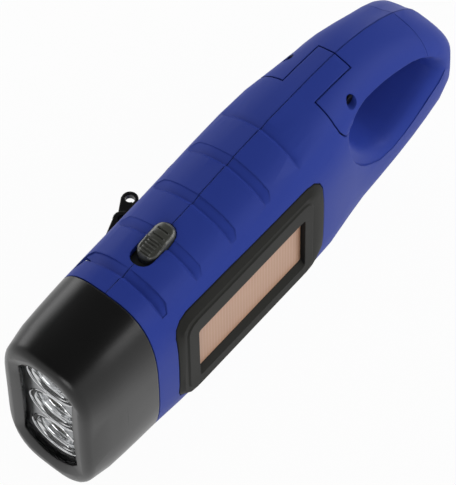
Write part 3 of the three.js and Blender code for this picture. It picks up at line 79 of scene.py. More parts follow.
# %% Camera
camera_place = Vector((0.38837, 0.33412, 0.85717))
camera_aim = Vector((0.0147, 0.0049, 0.0298))
camera_roll = math.radians(-1.753)
camera = bpy.data.objects.new("camera", bpy.data.cameras.new("camera"))
bpy.context.scene.collection.objects.link(camera)
camera.data.lens = 284.2
camera.data.shift_x = 0.0526
camera.data.shift_y = 0.0284
camera.data.clip_start = 0.05
camera.data.clip_end = 20
turn = (camera_aim - camera_place).to_track_quat("-Z", "Y").to_matrix().to_4x4()
camera.matrix_world = Matrix.Translation(camera_place) @ turn @ Matrix.Rotation(camera_roll, 4, "Z")
bpy.context.scene.camera = camera
print("camera distance in mm:", round((camera_place - camera_aim).length / mm))

# %% [markdown]
# ## Colours and nodes
# Colours are written as the eye knows them, in sRGB hex, and the shader wants linear light, so one
# function turns them. A second small function adds a shader node with its settings and links, which
# keeps each material down to a few readable lines.


# %% Colour and node helpers
def linear(code):
    """The linear colour of an sRGB hex code such as 2B3990."""
    shares = [int(code[i : i + 2], 16) / 255 for i in (0, 2, 4)]
    return [*((s / 12.92) if s <= 0.04045 else ((s + 0.055) / 1.055) ** 2.4 for s in shares), 1]


def pick(sockets, name):
    """The socket of that name that is in use, because a Mix node holds several of each name."""
    return next(socket for socket in sockets if socket.name == name and socket.enabled)


def add(tree, kind, values=None, links=None, **settings):
    """A node of that kind, with input values, links from other nodes' sockets, and settings."""
    made = tree.nodes.new(kind)
    for name, value in settings.items():
        setattr(made, name, value)
    for name, value in (values or {}).items():
        pick(made.inputs, name).default_value = value
    for name, socket in (links or {}).items():
        tree.links.new(socket, pick(made.inputs, name))
    return made


def begin(name, **values):
    """A new material with those values on its shader: returns the material, its tree and shader."""
    material = bpy.data.materials.new(name)
    material.use_nodes = True
    tree = material.node_tree
    shader = tree.nodes["Principled BSDF"]
    for socket, value in values.items():
        shader.inputs[socket.replace("_", " ")].default_value = value
    return material, tree, shader


print("white is", [round(x, 3) for x in linear("FFFFFF")])

# %% [markdown]
# ## Moulded plastic
# The grip, the head and the crank are injection moulded in ABS. The mould is spark eroded, which
# leaves a fine matt grain of about 0.1 mm. Here it is drawn at 0.3 to 0.35 mm, or it would vanish.
# The grain bumps the surface a little, and a slow drift in shade and gloss comes from the way the
# melt flowed. A moulded edge is never quite sharp, so a Bevel node bends the shading round each
# edge of a skin, which is how the small scoops on the grip catch the light.

# %% Moulded plastic
mould_edge = 0.45 * mm
melt_drift = 30 * mm


def moulded(name, shade, deep, roughness, shine, grain_size=0.3 * mm, grain_height=0.006 * mm):
    """Plastic that drifts between two shades, with a mould grain of a size and height in metres."""
    material, tree, shader = begin(name, IOR=1.54, Specular_IOR_Level=shine)
    place = add(tree, "ShaderNodeTexCoord").outputs["Object"]
    drift = add(tree, "ShaderNodeTexNoise", {"Scale": 1 / melt_drift, "Detail": 2}, {"Vector": place})
    tint = add(
        tree,
        "ShaderNodeMix",
        {"A": linear(deep), "B": linear(shade)},
        {"Factor": drift.outputs["Fac"]},
        data_type="RGBA",
    )
    gloss = add(
        tree,
        "ShaderNodeMapRange",
        {"From Min": 0.3, "From Max": 0.7, "To Min": roughness - 0.04, "To Max": roughness + 0.05},
        {"Value": drift.outputs["Fac"]},
    )
    grain = add(
        tree, "ShaderNodeTexNoise", {"Scale": 1 / grain_size, "Detail": 3}, {"Vector": place}
    )
    edge = add(tree, "ShaderNodeBevel", {"Radius": mould_edge}, samples=4)
    bump = add(
        tree,
        "ShaderNodeBump",
        {"Strength": 0.6, "Distance": grain_height},
        {"Height": grain.outputs["Fac"], "Normal": edge.outputs["Normal"]},
    )
    tree.links.new(pick(tint.outputs, "Result"), shader.inputs["Base Color"])
    tree.links.new(gloss.outputs["Result"], shader.inputs["Roughness"])
    tree.links.new(bump.outputs["Normal"], shader.inputs["Normal"])
    return material


# %% Plastics
# The grip: a matt blue whose broad, weak sheen lets the form show in soft steps of shade.
blue_abs = moulded(
    "blue_ABS_spark_eroded", "3145A0", "2C3E96", 0.5, 0.08, 0.35 * mm, 0.012 * mm
)
# The head and crank: a deep black that stays dark on top and carries a long satin sheen on its sides.
black_abs = moulded("black_ABS_spark_eroded", "1A1A1A", "151515", 0.3, 0.3)
# The panel frame: a dry, slightly olive grey with the coarsest grain on the torch.
frame_abs = moulded(
    "grey_black_ABS_panel", "323230", "2B2B29", 0.45, 0.03, 0.35 * mm, 0.02 * mm
)
# The thumb slide: a lighter grey, polished by use, so that its ribs catch small highlights.
switch_abs = moulded("grey_black_ABS_slide", "494A45", "3F403B", 0.27, 0.6)
# The lining of the panel's well: painted shade, a black with nearly no reflection, which draws a
# black outline.
well_shade_black = moulded("black_painted_well_shade", "0D0D0D", "0A0A0A", 0.7, 0.1)
# Gears and bushes: a milky white with a waxy gloss.
white_acetal = moulded("white_acetal_moulded", "E9E7DF", "E2DFD4", 0.4, 0.4)
print("plastics:", blue_abs.name, black_abs.name, frame_abs.name, switch_abs.name)

# %% [markdown]
# ## Metals
# Screws and pins are turned steel with fine rings from the tool, the generator's can is drawn
# aluminium, and the coil is enamelled copper wire. A metal takes its colour from its reflection,
# so each is fully metallic, and what tells them apart is the colour, the gloss and the direction
# of the marks. The real marks are about 0.05 mm wide and are drawn coarser, so that they show.

# %% Metals
mark_stretch = 8


def turned_metal(name, shade, roughness, mark_size, mark_height=0.004 * mm):
    """Metal with fine marks that run round the Y axis, as a lathe or a wheel leaves them."""
    material, tree, shader = begin(name, Metallic=1, Base_Color=linear(shade))
    place = add(tree, "ShaderNodeTexCoord").outputs["Object"]
    along = 1 / (mark_stretch * mark_size)
    squeezed = add(
        tree, "ShaderNodeMapping", {"Scale": (along, 1 / mark_size, along)}, {"Vector": place}
    )
    marks = add(
        tree,
        "ShaderNodeTexNoise",
        {"Scale": 1, "Detail": 4},
        {"Vector": squeezed.outputs["Vector"]},
    )
    gloss = add(
        tree,
        "ShaderNodeMapRange",
        {"To Min": roughness - 0.08, "To Max": roughness + 0.08},
        {"Value": marks.outputs["Fac"]},
    )
    bump = add(
        tree,
        "ShaderNodeBump",
        {"Strength": 0.5, "Distance": mark_height},
        {"Height": marks.outputs["Fac"]},
    )
    tree.links.new(gloss.outputs["Result"], shader.inputs["Roughness"])
    tree.links.new(bump.outputs["Normal"], shader.inputs["Normal"])
    return material


# The hook's and the grip's pins: a near black steel that paints the shade of their holes, so they
# read as dark dots.
pin_hole_shade_steel = turned_metal("dark_steel_painted_hole_shade", "26272B", 0.4, 0.12 * mm)
# Screws and shafts: a cool bright grey with fine rings.
steel = turned_metal("zinc_plated_steel_turned", "B9BBBD", 0.3, 0.12 * mm)
# The generator's can: a softer, more even grey than the steel.
aluminium = turned_metal("aluminium_drawn", "A9ABAC", 0.38, 0.2 * mm)
# The coil: the deep marks stand for the turns of the wire.
copper = turned_metal("enamelled_copper_wound", "B4603A", 0.32, 0.18 * mm, 0.03 * mm)
print("metals:", pin_hole_shade_steel.name, steel.name, aluminium.name, copper.name)

# %% [markdown]
# ## Bright cups, clear window and lamps
# The cups are moulded and then metallised in a vacuum, which gives a mirror with a trace of orange
# peel. The plate round them has a sprayed silver paint, which is greyer and blurs what it shows;
# the passes of the spray gun leave faint lines, so the marks of the metals serve for it. The window
# is a thin sheet of clear polycarbonate. A thick clear block in front of the cups would veil them
# with the white of the floor, so the sheet lets nine tenths of the light straight through and
# shows only its own weak gloss. The lamps are cast in clear epoxy and bend the light.

# %% Mirror and silver paint
peel_size = 1.6 * mm
wave_height = 0.02 * mm
# The cups: a hard mirror, so each step of a cup shows as a bright and a dark ring.
mirror, tree, shader = begin(
    "ABS_vacuum_metallised", Metallic=1, Base_Color=linear("ECEDEE"), Roughness=0.1
)
place = add(tree, "ShaderNodeTexCoord").outputs["Object"]
peel = add(tree, "ShaderNodeTexNoise", {"Scale": 1 / peel_size, "Detail": 1}, {"Vector": place})
bump = add(
    tree,
    "ShaderNodeBump",
    {"Strength": 0.4, "Distance": wave_height},
    {"Height": peel.outputs["Fac"]},
)
tree.links.new(bump.outputs["Normal"], shader.inputs["Normal"])
# The plate: a calm mid grey that lets the mirror cups stand out.
plate_silver = turned_metal("ABS_silver_painted", "A4A6A8", 0.3, 0.3 * mm)
print("mirror and paint:", mirror.name, plate_silver.name)


# %% Clear plastics
def clear(name, tint, ior, flow_size, **values):
    """A clear plastic with faint flow waves of that size in its surface."""
    material, tree, shader = begin(name, IOR=ior, Roughness=0.03, Base_Color=linear(tint), **values)
    place = add(tree, "ShaderNodeTexCoord").outputs["Object"]
    flow = add(tree, "ShaderNodeTexNoise", {"Scale": 1 / flow_size, "Detail": 1}, {"Vector": place})
    bump = add(
        tree,
        "ShaderNodeBump",
        {"Strength": 0.15, "Distance": wave_height},
        {"Height": flow.outputs["Fac"]},
    )
    tree.links.new(bump.outputs["Normal"], shader.inputs["Normal"])
    return material


# The window: all but invisible, with a faint shine where a lamp stands in it.
clear_sheet = clear("polycarbonate_clear_sheet", "2C2E2F", 1.585, 6 * mm, Alpha=0.1)
# The lamps' domes: small round lenses that gather the cup's reflections.
clear_epoxy = clear("epoxy_clear_cast", "FBFBF7", 1.5, 3 * mm, Transmission_Weight=1)
print("clear plastics:", clear_sheet.name, clear_epoxy.name)

# %% [markdown]
# ## Solar cell
# The cell is a thin amorphous layer on a tan back sheet under clear resin, scribed into narrow
# strips across its width. A Wave texture makes them: its crests, cut off near their top, are the
# fine pale lines between the strips.

# %% Solar cell
strip_pitch = 1.1 * mm
# The resin's own gloss lies over the tan and its lines like a thin veil.
solar_cell, tree, shader = begin(
    "solar_cell_under_resin", IOR=1.5, Roughness=0.32, Specular_IOR_Level=0.35
)
place = add(tree, "ShaderNodeTexCoord").outputs["Object"]
strips = add(
    tree,
    "ShaderNodeTexWave",
    {"Scale": math.pi / 10 / strip_pitch, "Distortion": 0},
    {"Vector": place},
    bands_direction="X",
)
lines = add(
    tree,
    "ShaderNodeMapRange",
    {"From Min": 0.86, "From Max": 0.98},
    {"Value": strips.outputs["Fac"]},
)
drift = add(tree, "ShaderNodeTexNoise", {"Scale": 1 / (9 * mm), "Detail": 2}, {"Vector": place})
ground = add(
    tree,
    "ShaderNodeMix",
    {"A": linear("B88C70"), "B": linear("C29679")},
    {"Factor": drift.outputs["Fac"]},
    data_type="RGBA",
)
tint = add(
    tree,
    "ShaderNodeMix",
    {"B": linear("C7A087")},
    {"Factor": lines.outputs["Result"], "A": pick(ground.outputs, "Result")},
    data_type="RGBA",
)
tree.links.new(pick(tint.outputs, "Result"), shader.inputs["Base Color"])
print("solar cell strips every", strip_pitch / mm, "mm")

# %% [markdown]
# ## Board and magnet
# The circuit boards are glass-fibre laminate under green lacquer, and the magnet is sintered
# ferrite, dull and nearly black. Both show specks, of the weave and of the sintered grains, so a
# Voronoi texture gives the specks and bumps the surface with them.


# %% Board and magnet
def speckled(name, shade, deep, roughness, speck_size):
    """A dull material with specks of two shades, of that size in metres."""
    material, tree, shader = begin(name, Roughness=roughness, Specular_IOR_Level=0.4)
    place = add(tree, "ShaderNodeTexCoord").outputs["Object"]
    specks = add(tree, "ShaderNodeTexVoronoi", {"Scale": 1 / speck_size}, {"Vector": place})
    tint = add(
        tree,
        "ShaderNodeMix",
        {"A": linear(shade), "B": linear(deep)},
        {"Factor": specks.outputs["Distance"]},
        data_type="RGBA",
    )
    bump = add(
        tree,
        "ShaderNodeBump",
        {"Strength": 0.4, "Distance": wave_height},
        {"Height": specks.outputs["Distance"]},
    )
    tree.links.new(pick(tint.outputs, "Result"), shader.inputs["Base Color"])
    tree.links.new(bump.outputs["Normal"], shader.inputs["Normal"])
    return material


# The boards: a deep green in which the glass weave glimmers.
green_laminate = speckled("glass_fibre_laminate_lacquered", "1F6B3E", "185632", 0.35, 0.6 * mm)
# The magnet: a dark stone with hardly any gloss.
ferrite = speckled("ferrite_sintered", "2B2B2D", "1D1D1F", 0.6, 0.4 * mm)
print("inner materials:", green_laminate.name, ferrite.name)

# %% [markdown]
# ## Smooth skins over the solids
# The solids are made of flat facets, which is right for measuring but looks cut with a knife. Each
# moulded piece that shows gets a skin: a copy of its surface with the loose corners merged, flat
# patches joined into single faces, and shading that runs smoothly across every edge below a limit.
# Real sharp edges, such as the parting line, stay sharp.

# %% Finished pieces
bodies = frame["record"]["behaviour"]["bodies"]
body_of = {node: body for body, members in bodies.items() for node in members}


def finish_piece(bm, name, nodes, material, limit=32):
    """A bmesh becomes a piece that stands for those nodes and moves with the body they are on."""
    for edge in bm.edges:
        edge.smooth = edge.calc_face_angle(0) < math.radians(limit)
    for face in bm.faces:
        face.smooth = True
    mesh = bpy.data.meshes.new(name)
    bm.to_mesh(mesh)
    bm.free()
    mesh.materials.append(material)
    piece = bpy.data.objects.new(name, mesh)
    bpy.context.scene.collection.objects.link(piece)
    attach(piece, body_of[nodes[0]])
    return piece


def drop_flat_normals(piece):
    """Forget the flat shading that a copy of a solid brings along."""
    if "custom_normal" in piece.data.attributes:
        piece.data.attributes.remove(piece.data.attributes["custom_normal"])


def ease(share):
    """A share from 0 to 1 that starts and ends softly."""
    share = min(1, max(0, share))
    return share * share * (3 - 2 * share)


print("bodies:", ", ".join(bodies))

# %% [markdown]
# The solids leave room between the shells and behind the hook's gate, so that they can be told
# apart and move. On the real torch these parting lines are hairlines. The walls beside each gap are
# found by their distance from its middle plane and slid together, along their own edges so that
# they stay on the surface. The split behind the gate leans by a few degrees.

# %% Parting lines
seam = (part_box("left_shell")[1].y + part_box("right_shell")[0].y) / 2
seam_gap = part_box("right_shell")[0].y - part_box("left_shell")[1].y
seam_shown = 0.14 * mm
on_seam = 0.01 * mm
split_lean = math.radians(6)
split_normal = Vector((-math.cos(split_lean), 0, -math.sin(split_lean)))
split_place = {"gate": 55.37 * mm, "left_shell": 55.76 * mm, "right_shell": 55.76 * mm}
split_shown = {"gate": 55.57 * mm, "left_shell": 55.62 * mm, "right_shell": 55.62 * mm}
on_split = 0.03 * mm
across_share = 0.6


def fit_lines(bm, node):
    """Draw the parting lines fine: the walls beside each gap move most of the way together."""
    slides = []
    for vert in bm.verts:
        if abs(vert.co.dot(split_normal) - split_place[node]) < on_split:
            steps = [vert.co - edge.other_vert(vert).co for edge in vert.link_edges]
            steps = [s for s in steps if abs(s.dot(split_normal)) > across_share * s.length]
            step = max(steps, key=lambda x: x.length, default=split_normal)
            need = split_shown[node] - vert.co.dot(split_normal)
            slides.append((vert, step * (need / step.dot(split_normal))))
    for vert, slide in slides:
        vert.co += slide
    for vert in bm.verts:
        if abs(abs(vert.co.y - seam) - seam_gap / 2) < on_seam:
            vert.co.y = seam + math.copysign(seam_shown / 2, vert.co.y - seam)


print("seam in mm:", round(seam_gap / mm, 2), "drawn", round(seam_shown / mm, 2))

# %% [markdown]
# The tail's crank side is rounder than the solid's. Each point there sinks and moves towards the
# seam by a small amount that grows softly towards the tail, the side and the top, so no edge shows
# where it starts.

# %% Tail
slim_start, slim_run = -38 * mm, 20 * mm
slim_side_run = 4 * mm
slim_foot, slim_rise = 30 * mm, 14 * mm
slim_drop = 1.3 * mm
slim_squeeze = 0.09


def slim_tail(bm):
    """Round the tail's crank side off a little more than the solid does."""
    for vert in bm.verts:
        back = ease((slim_start - vert.co.x) / slim_run)
        side = ease((seam - vert.co.y) / slim_side_run)
        up = ease((vert.co.z - slim_foot) / slim_rise)
        vert.co.z -= slim_drop * back * side * up
        vert.co.y += slim_squeeze * (seam - vert.co.y) * back * side * up


print("tail sinks by up to", slim_drop / mm, "mm")

# %% [markdown]
# The last number of each row below is the angle in degrees up to which shading runs on across an
# edge. The blue shells have the highest, because their scoops are soft, and small crisp pieces the
# lowest.

# %% Skins
merge_distance = 0.004 * mm
flat_angle = math.radians(0.5)


def skin(node, material, limit):
    """A smoothly shaded copy of a node's surface, shown in the node's place."""
    bm = bmesh.new()
    bm.from_mesh(frame["nodes"][node].data)
    bmesh.ops.remove_doubles(bm, verts=bm.verts, dist=merge_distance)
    if node in split_place:
        fit_lines(bm, node)
        slim_tail(bm)
    bmesh.ops.dissolve_limit(
        bm, angle_limit=flat_angle, verts=bm.verts, edges=bm.edges, delimit={"NORMAL"}
    )
    piece = finish_piece(bm, node + "_skin", [node], material, limit)
    drop_flat_normals(piece)
    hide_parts(node)


skins = [
    ("left_shell", "blue_shell", blue_abs, 40),
    ("right_shell", "blue_shell", blue_abs, 40),
    ("gate", "blue_shell", blue_abs, 40),
    ("head_bezel", "black_abs", black_abs, 34),
    ("solar_frame", "black_abs", frame_abs, 30),
    ("crank_arm", "black_abs", black_abs, 30),
    ("crank_grip", "black_abs", black_abs, 34),
    ("lens", "clear_lens", clear_sheet, 30),
    ("solar_cell", "solar_glass", solar_cell, 30),
    ("crank_screw", "steel", steel, 30),
    ("grip_pin", "steel", pin_hole_shade_steel, 30),
    ("gate_pin", "steel", pin_hole_shade_steel, 30),
    ("crank_bush", "white_acetal", white_acetal, 30),
    *((f"shell_screw_{i}", "steel", steel, 30) for i in range(1, 6)),
]
for node, slot, material, limit in skins:
    skin(node, material, limit)
print("skins:", len(skins))

# %% [markdown]
# ## The pieces inside
# Gears, boards, cells and the generator are hidden behind the shells, and show only in an exploded
# view. They keep their solid shapes and get the material each is really made of.

# %% Inner pieces
inner_materials = {
    white_acetal: ["switch_lever", "crank_gear", "idler_gear_1", "idler_gear_2"],
    black_abs: ["battery_holder", "gearbox_frame", "gearbox_cover"],
    steel: ["crank_shaft", "idler_axle_1", "idler_axle_2", "rotor_shaft", "gate_spring"]
    + [f"gearbox_screw_{i}" for i in range(1, 4)]
    + [f"battery_cell_{i}" for i in range(1, 4)],
    aluminium: ["stator_can", "slide_switch"],
    copper: ["coil"],
    ferrite: ["rotor_magnet"],
    green_laminate: ["led_board", "main_board"],
}
for material, names in inner_materials.items():
    for name in names:
        frame["nodes"][name].material_slots[0].material = material
print("inner pieces:", sum(map(len, inner_materials.values())))

# %% [markdown]
# ## Panel well shade
# The walls of the panel's well are lined with a thin black sheet along the cell's edge, which paints
# the shade of the recess. It is made from the frame's own wall faces, copied and moved a hair
# inwards.

# %% Panel well shade
well_shade_inset = 0.04 * mm
well_shade_below_lip = 0.12 * mm
wall_slope = 0.45
cell_low, cell_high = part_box("solar_cell")
frame_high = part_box("solar_frame")[1]
cell_middle = (cell_low + cell_high) / 2
bm = bmesh.new()
bm.from_mesh(frame["nodes"]["solar_frame"].data)
bmesh.ops.remove_doubles(bm, verts=bm.verts, dist=merge_distance)
others = []
for face in bm.faces:
    spot = face.calc_center_median()
    toward = cell_middle - spot
    toward.y = 0
    is_wall = cell_high.y < spot.y < frame_high.y and abs(face.normal.y) < wall_slope
    if not (is_wall and face.normal.dot(toward) > 0):
        others.append(face)
bmesh.ops.delete(bm, geom=others, context="FACES")
for vert in bm.verts:
    inward = cell_middle - vert.co
    inward.y = 0
    vert.co += inward.normalized() * well_shade_inset
    vert.co.y = min(vert.co.y, frame_high.y - well_shade_below_lip)
panel_well_shade = finish_piece(bm, "panel_well_shade", ["solar_frame"], well_shade_black, 40)
drop_flat_normals(panel_well_shade)
print("gasket faces:", len(panel_well_shade.data.polygons))

# %% [markdown]
# ## Thumb slide
# The switch button is one moulding about 11 mm long: a domed crown at the back with two cross
# grooves, a crease, and a saddle in front of it with five small ribs for the thumb. First its form
# is written down. The ridge is a list of heights along the button, in millimetres from its rear end
# and from the crown, joined by soft steps. Grooves and ribs are short cross marks on it.

# %% Form of the thumb slide
button_low, button_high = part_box("switch_button")
skirt_lap = 3 * mm
rear_end = button_low.x + skirt_lap
button_length = button_high.x - button_low.x - 2 * skirt_lap
button_half_width = 3 * mm
button_middle = (button_low.y + button_high.y) / 2
crown = button_high.z - 0.25 * mm
ridge = [(0, -0.9), (0.35, -0.2), (1.3, 0.2), (3, 0.3), (5.2, 0.15), (6.1, -0.25), (6.5, -0.75)]
ridge += [(7.4, -0.95), (9.6, -1.15), (11, -1.4), (11.5, -1.7)]
groove_places = (3, 4.95)
rib_places = (6.95, 7.85, 9.0, 9.95, 10.75)


def height_at(distance):
    """Height of the button's ridge at a distance from its rear end, in metres."""
    for (start, low), (end, high) in zip(ridge, ridge[1:]):
        if distance <= end * mm:
            return crown + (low + (high - low) * ease((distance / mm - start) / (end - start))) * mm
    return crown + ridge[-1][1] * mm


def mark(distance, across, place, half_length, half_width=0.2, end_softness=0.08):
    """How strongly a cross mark, sized in mm, shows at a point: 1 on its middle, 0 beyond it."""
    along = math.exp(-(((distance / mm - place) / half_width) ** 2))
    end = 1 / (1 + math.exp((abs(across) / mm - half_length) / end_softness))
    return along * end


print("thumb slide in mm:", round(button_length / mm, 1), "by", 2 * button_half_width / mm)

# %% [markdown]
# Then a grid is drawn over the button's plan, bent to its round ends, and each point is lifted to
# the height of the form. The rim falls away as a quarter round, and the last row is pulled down
# to make the sides.

# %% Thumb slide
rim_round = 0.8 * mm
crown_length, crown_bulge, saddle_hollow = 6.2 * mm, 0.75 * mm, 0.12 * mm
groove_depth, groove_reach = 0.6 * mm, 1.6
rib_height, rib_reach = 0.42 * mm, 1.55
dust_plate_thickness = 1 * mm
bm = bmesh.new()
bmesh.ops.create_grid(bm, x_segments=120, y_segments=40, size=1)
for vert in bm.verts:
    along = (vert.co.x + 1) / 2 * button_length
    share = math.sin(vert.co.y * math.pi / 2)
    past = max(0, abs(along - button_length / 2) - (button_length / 2 - button_half_width))
    across = share * math.sqrt(max(0, button_half_width**2 - past**2))
    inset = button_half_width - math.hypot(past, across)
    drop = rim_round - math.sqrt(max(0, rim_round**2 - max(0, rim_round - inset) ** 2))
    bulge = crown_bulge if along < crown_length else -saddle_hollow
    lift = height_at(along) - bulge * (across / button_half_width) ** 2 - drop
    for place in groove_places:
        lift -= groove_depth * mark(along, across, place, groove_reach)
    for place in rib_places:
        lift += rib_height * mark(along, across, place, rib_reach)
    vert.co = (rear_end + along, button_middle + across, lift)
bmesh.ops.remove_doubles(bm, verts=bm.verts, dist=0.02 * mm)
rim = [edge for edge in bm.edges if edge.is_boundary]
walls = bmesh.ops.extrude_edge_only(bm, edges=rim)
for vert in (v for v in walls["geom"] if isinstance(v, bmesh.types.BMVert)):
    vert.co.z = button_low.z + dust_plate_thickness / 2
bmesh.ops.holes_fill(bm, edges=[edge for edge in bm.edges if edge.is_boundary])
bmesh.ops.recalc_face_normals(bm, faces=bm.faces)
print("thumb slide faces:", len(bm.faces))
thumb_slide = finish_piece(bm, "thumb_slide", ["switch_button"], switch_abs, 50)
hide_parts("switch_button")

# %% [markdown]
# ## Dust plate
# Under the roof the button carries a thin plate, which keeps dust out of the slot as it slides and
# shows as a dark floor in front of it. It is a box whose upright edges are bevelled almost round.

# %% Dust plate
dust_plate_corner = 4.3 * mm
bm = bmesh.new()
bmesh.ops.create_cube(bm, size=1)
dust_plate_size = (
    button_high.x - button_low.x,
    button_high.y - button_low.y,
    dust_plate_thickness,
)
bmesh.ops.scale(bm, verts=bm.verts, vec=dust_plate_size)
dust_plate_middle = (button_low + button_high) / 2
dust_plate_middle.z = button_low.z + dust_plate_thickness / 2
bmesh.ops.translate(bm, verts=bm.verts, vec=dust_plate_middle)
upright = [
    edge
    for edge in bm.edges
    if abs(edge.verts[0].co.z - edge.verts[1].co.z) > dust_plate_thickness / 2
]
bmesh.ops.bevel(
    bm,
    geom=upright,
    offset=dust_plate_corner,
    segments=12,
    profile=0.5,
    affect="EDGES",
    material=-1,
)
finish_piece(bm, "dust_plate", ["switch_button"], switch_abs)
print("dust plate in mm:", [round(x / mm, 1) for x in dust_plate_size])

# %% [markdown]
# ## Lamps
# Each lamp is a clear 5 mm epoxy dome cast round two thin posts. One ends in a small dish, which
# holds the light chip under a yellow phosphor drop. All of it is round, so each piece is a profile
# spun once round the lamp's axis. The posts are too thin to show behind the dish and are left out.


# %% Spun pieces
def spun(profile, centre, steps):
    """A bmesh of (x, radius) points in millimetres, spun round the X axis through a centre."""
    bm = bmesh.new()
    verts = [bm.verts.new(centre + Vector((x * mm, 0, r * mm))) for x, r in profile]
    edges = [bm.edges.new(pair) for pair in zip(verts, verts[1:])]
    bmesh.ops.spin(
        bm,
        geom=verts + edges,
        cent=centre,
        axis=(1, 0, 0),
        dvec=(0, 0, 0),
        angle=2 * math.pi,
        steps=steps,
        use_merge=True,
        use_duplicate=False,
    )
    bmesh.ops.remove_doubles(bm, verts=bm.verts, dist=0.001 * mm)
    bmesh.ops.recalc_face_normals(bm, faces=bm.faces)
    return bm


# %% Lamps
lamp_radius, lamp_flange, dome_start = 2.5, 2.8, 5.6
dome_angles = [i * math.pi / 24 for i in range(12)]
dome = [(dome_start + lamp_radius * math.sin(a), lamp_radius * math.cos(a)) for a in dome_angles]
lamp_profile = [(0, 0), (0, lamp_flange), (0.8, lamp_flange), (0.85, lamp_radius)]
lamp_profile += [*dome, (dome_start + lamp_radius, 0)]
dish = [(1.2, 0), (1.2, 0.9), (3.6, 1.0), (4.6, 1.25), (4.6, 1.05), (4.0, 0.6), (4.0, 0)]
drop = [(4.02, 0), (4.02, 0.6), (4.5, 0.98), (4.7, 0.6), (4.78, 0)]
# The drop on the chip: a soft yellow that the dome enlarges.
phosphor = speckled("silicone_with_phosphor", "E8C94A", "DDB93A", 0.4, 0.2 * mm)
for i in (1, 2, 3):
    node = f"led_{i}"
    low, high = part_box(node)
    seat = Vector((low.x, (low.y + high.y) / 2, (low.z + high.z) / 2))
    lamp = finish_piece(
        spun(lamp_profile, seat, 40), f"lamp_{i}", [node], clear_epoxy, 50
    )
    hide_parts(node)
    finish_piece(spun(dish, seat, 24), f"lamp_dish_{i}", [node], steel, 40)
    finish_piece(spun(drop, seat, 24), f"lamp_chip_{i}", [node], phosphor)

# %% [markdown]
# ## The reflector
# The bright reflector is one moulding: a flat plate behind the window with three oval cups. Each
# cup has a rolled lip, a groove painted black as painted shade, which outlines it, and a bowl with
# fine steps, which throw rings of light and dark. A cup is a profile spun round its lamp and
# stretched across, and its lip covers the edge of the opening in the plate. Each face is turned to
# look at the lamp's axis and a little forward, which is where the mirror is seen from.

# %% Cups
plate_low, plate_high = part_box("reflector")
lamp_heights = sorted((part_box(f"led_{i}")[0].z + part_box(f"led_{i}")[1].z) / 2 for i in (1, 2, 3))
lamp_middle = (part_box("led_1")[0].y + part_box("led_1")[1].y) / 2
cup_stretch = 1.27
cup_radius = 6.34
bowl_depth = 9.4
cup_setback = 0.05 * mm
forward_share = 0.3
lip = [(-0.25, cup_radius), (0.02, 6.28), (0.14, 6.12), (0.02, 5.96), (-0.3, 5.9)]
groove = [(-0.3, 5.92), (-0.42, 5.86), (-0.42, 5.16), (-0.3, 5.1)]
bowl = [(-0.32, 5.12), (-0.12, 5.0), (-0.32, 4.86)]
for riser_end, radius, tread in [(-1.5, 4.7, 0.3), (-2.6, 4.25, 0.25), (-3.9, 3.85, 0.25)]:
    bowl += [(riser_end, radius), (riser_end - 0.06, radius - tread)]
bowl += [(-6, 3.3), (-bowl_depth, 3.0)]
# The groove: painted shade, a dull black ring that sets each bright cup off from the silver plate.
groove_painted_shade = moulded(
    "black_painted_groove_shade", "0C0C0D", "090909", 0.45, 0.2, 0.3 * mm, 0.004 * mm
)
cup_parts = [("lip", lip, mirror), ("groove", groove, groove_painted_shade), ("bowl", bowl, mirror)]
for i, height in enumerate(lamp_heights):
    front = Vector((plate_high.x - cup_setback, lamp_middle, height))
    for label, profile, material in cup_parts:
        bm = spun(profile, front, 72)
        for vert in bm.verts:
            vert.co.y = lamp_middle + (vert.co.y - lamp_middle) * cup_stretch
        for face in bm.faces:
            inward = front - face.calc_center_median()
            inward.x = forward_share * inward.length
            if face.normal.dot(inward) < 0:
                face.normal_flip()
        name = f"cup_{label}_{i + 1}"
        finish_piece(bm, name, ["reflector"], material, 28)
print("cups", round(2 * cup_radius * cup_stretch, 1), "by", 2 * cup_radius, "mm")

# %% [markdown]
# The plate is a fine grid stood upright behind the window. The faces inside each cup's oval are
# deleted, and the cups' lips hide the small steps that this leaves.

# %% Reflector plate
opening_radius = 6.05 * mm
plate_gap = 0.1 * mm
plate_depth = 0.15 * mm
bm = bmesh.new()
bmesh.ops.create_grid(bm, x_segments=80, y_segments=176, size=0.5)
plate_span = [high - low - 2 * plate_gap for low, high in zip(plate_low.yz, plate_high.yz)]
bmesh.ops.scale(bm, verts=bm.verts, vec=(*plate_span, 1))
bmesh.ops.rotate(bm, verts=bm.verts, matrix=Matrix(((0, 0, 1), (1, 0, 0), (0, 1, 0))))
plate_middle = (plate_low + plate_high) / 2
plate_middle.x = plate_high.x - plate_depth
bmesh.ops.translate(bm, verts=bm.verts, vec=plate_middle)
opened = []
for face in bm.faces:
    spot = face.calc_center_median()
    across = (spot.y - lamp_middle) / cup_stretch
    if any(math.hypot(across, spot.z - height) < opening_radius for height in lamp_heights):
        opened.append(face)
bmesh.ops.delete(bm, geom=opened, context="FACES")
plate = finish_piece(bm, "reflector_plate", ["reflector"], plate_silver)
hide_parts("reflector")
print("plate in mm:", [round(x / mm, 1) for x in plate_span])

# %% [markdown]
# ## Room
# The studio is a white room with a dim ceiling. Cups, black plastic and clear pieces mostly show
# what stands round them, so the room is bright at the horizon and falls softly to a dark ceiling,
# which is why the head stays black on top. The room's light is weaker on the surfaces than it
# looks to the camera and in reflections, so colours come out as they were written.


# %% Room
def looked_at(tree):
    """A socket that is 1 for rays from the camera, in a reflection or through a clear piece."""
    path = add(tree, "ShaderNodeLightPath")
    rays = path.outputs["Is Camera Ray"]
    for name in ("Is Glossy Ray", "Is Transmission Ray"):
        either = add(tree, "ShaderNodeMath", operation="MAXIMUM")
        tree.links.new(rays, either.inputs[0])
        tree.links.new(path.outputs[name], either.inputs[1])
        rays = either.outputs[0]
    return rays


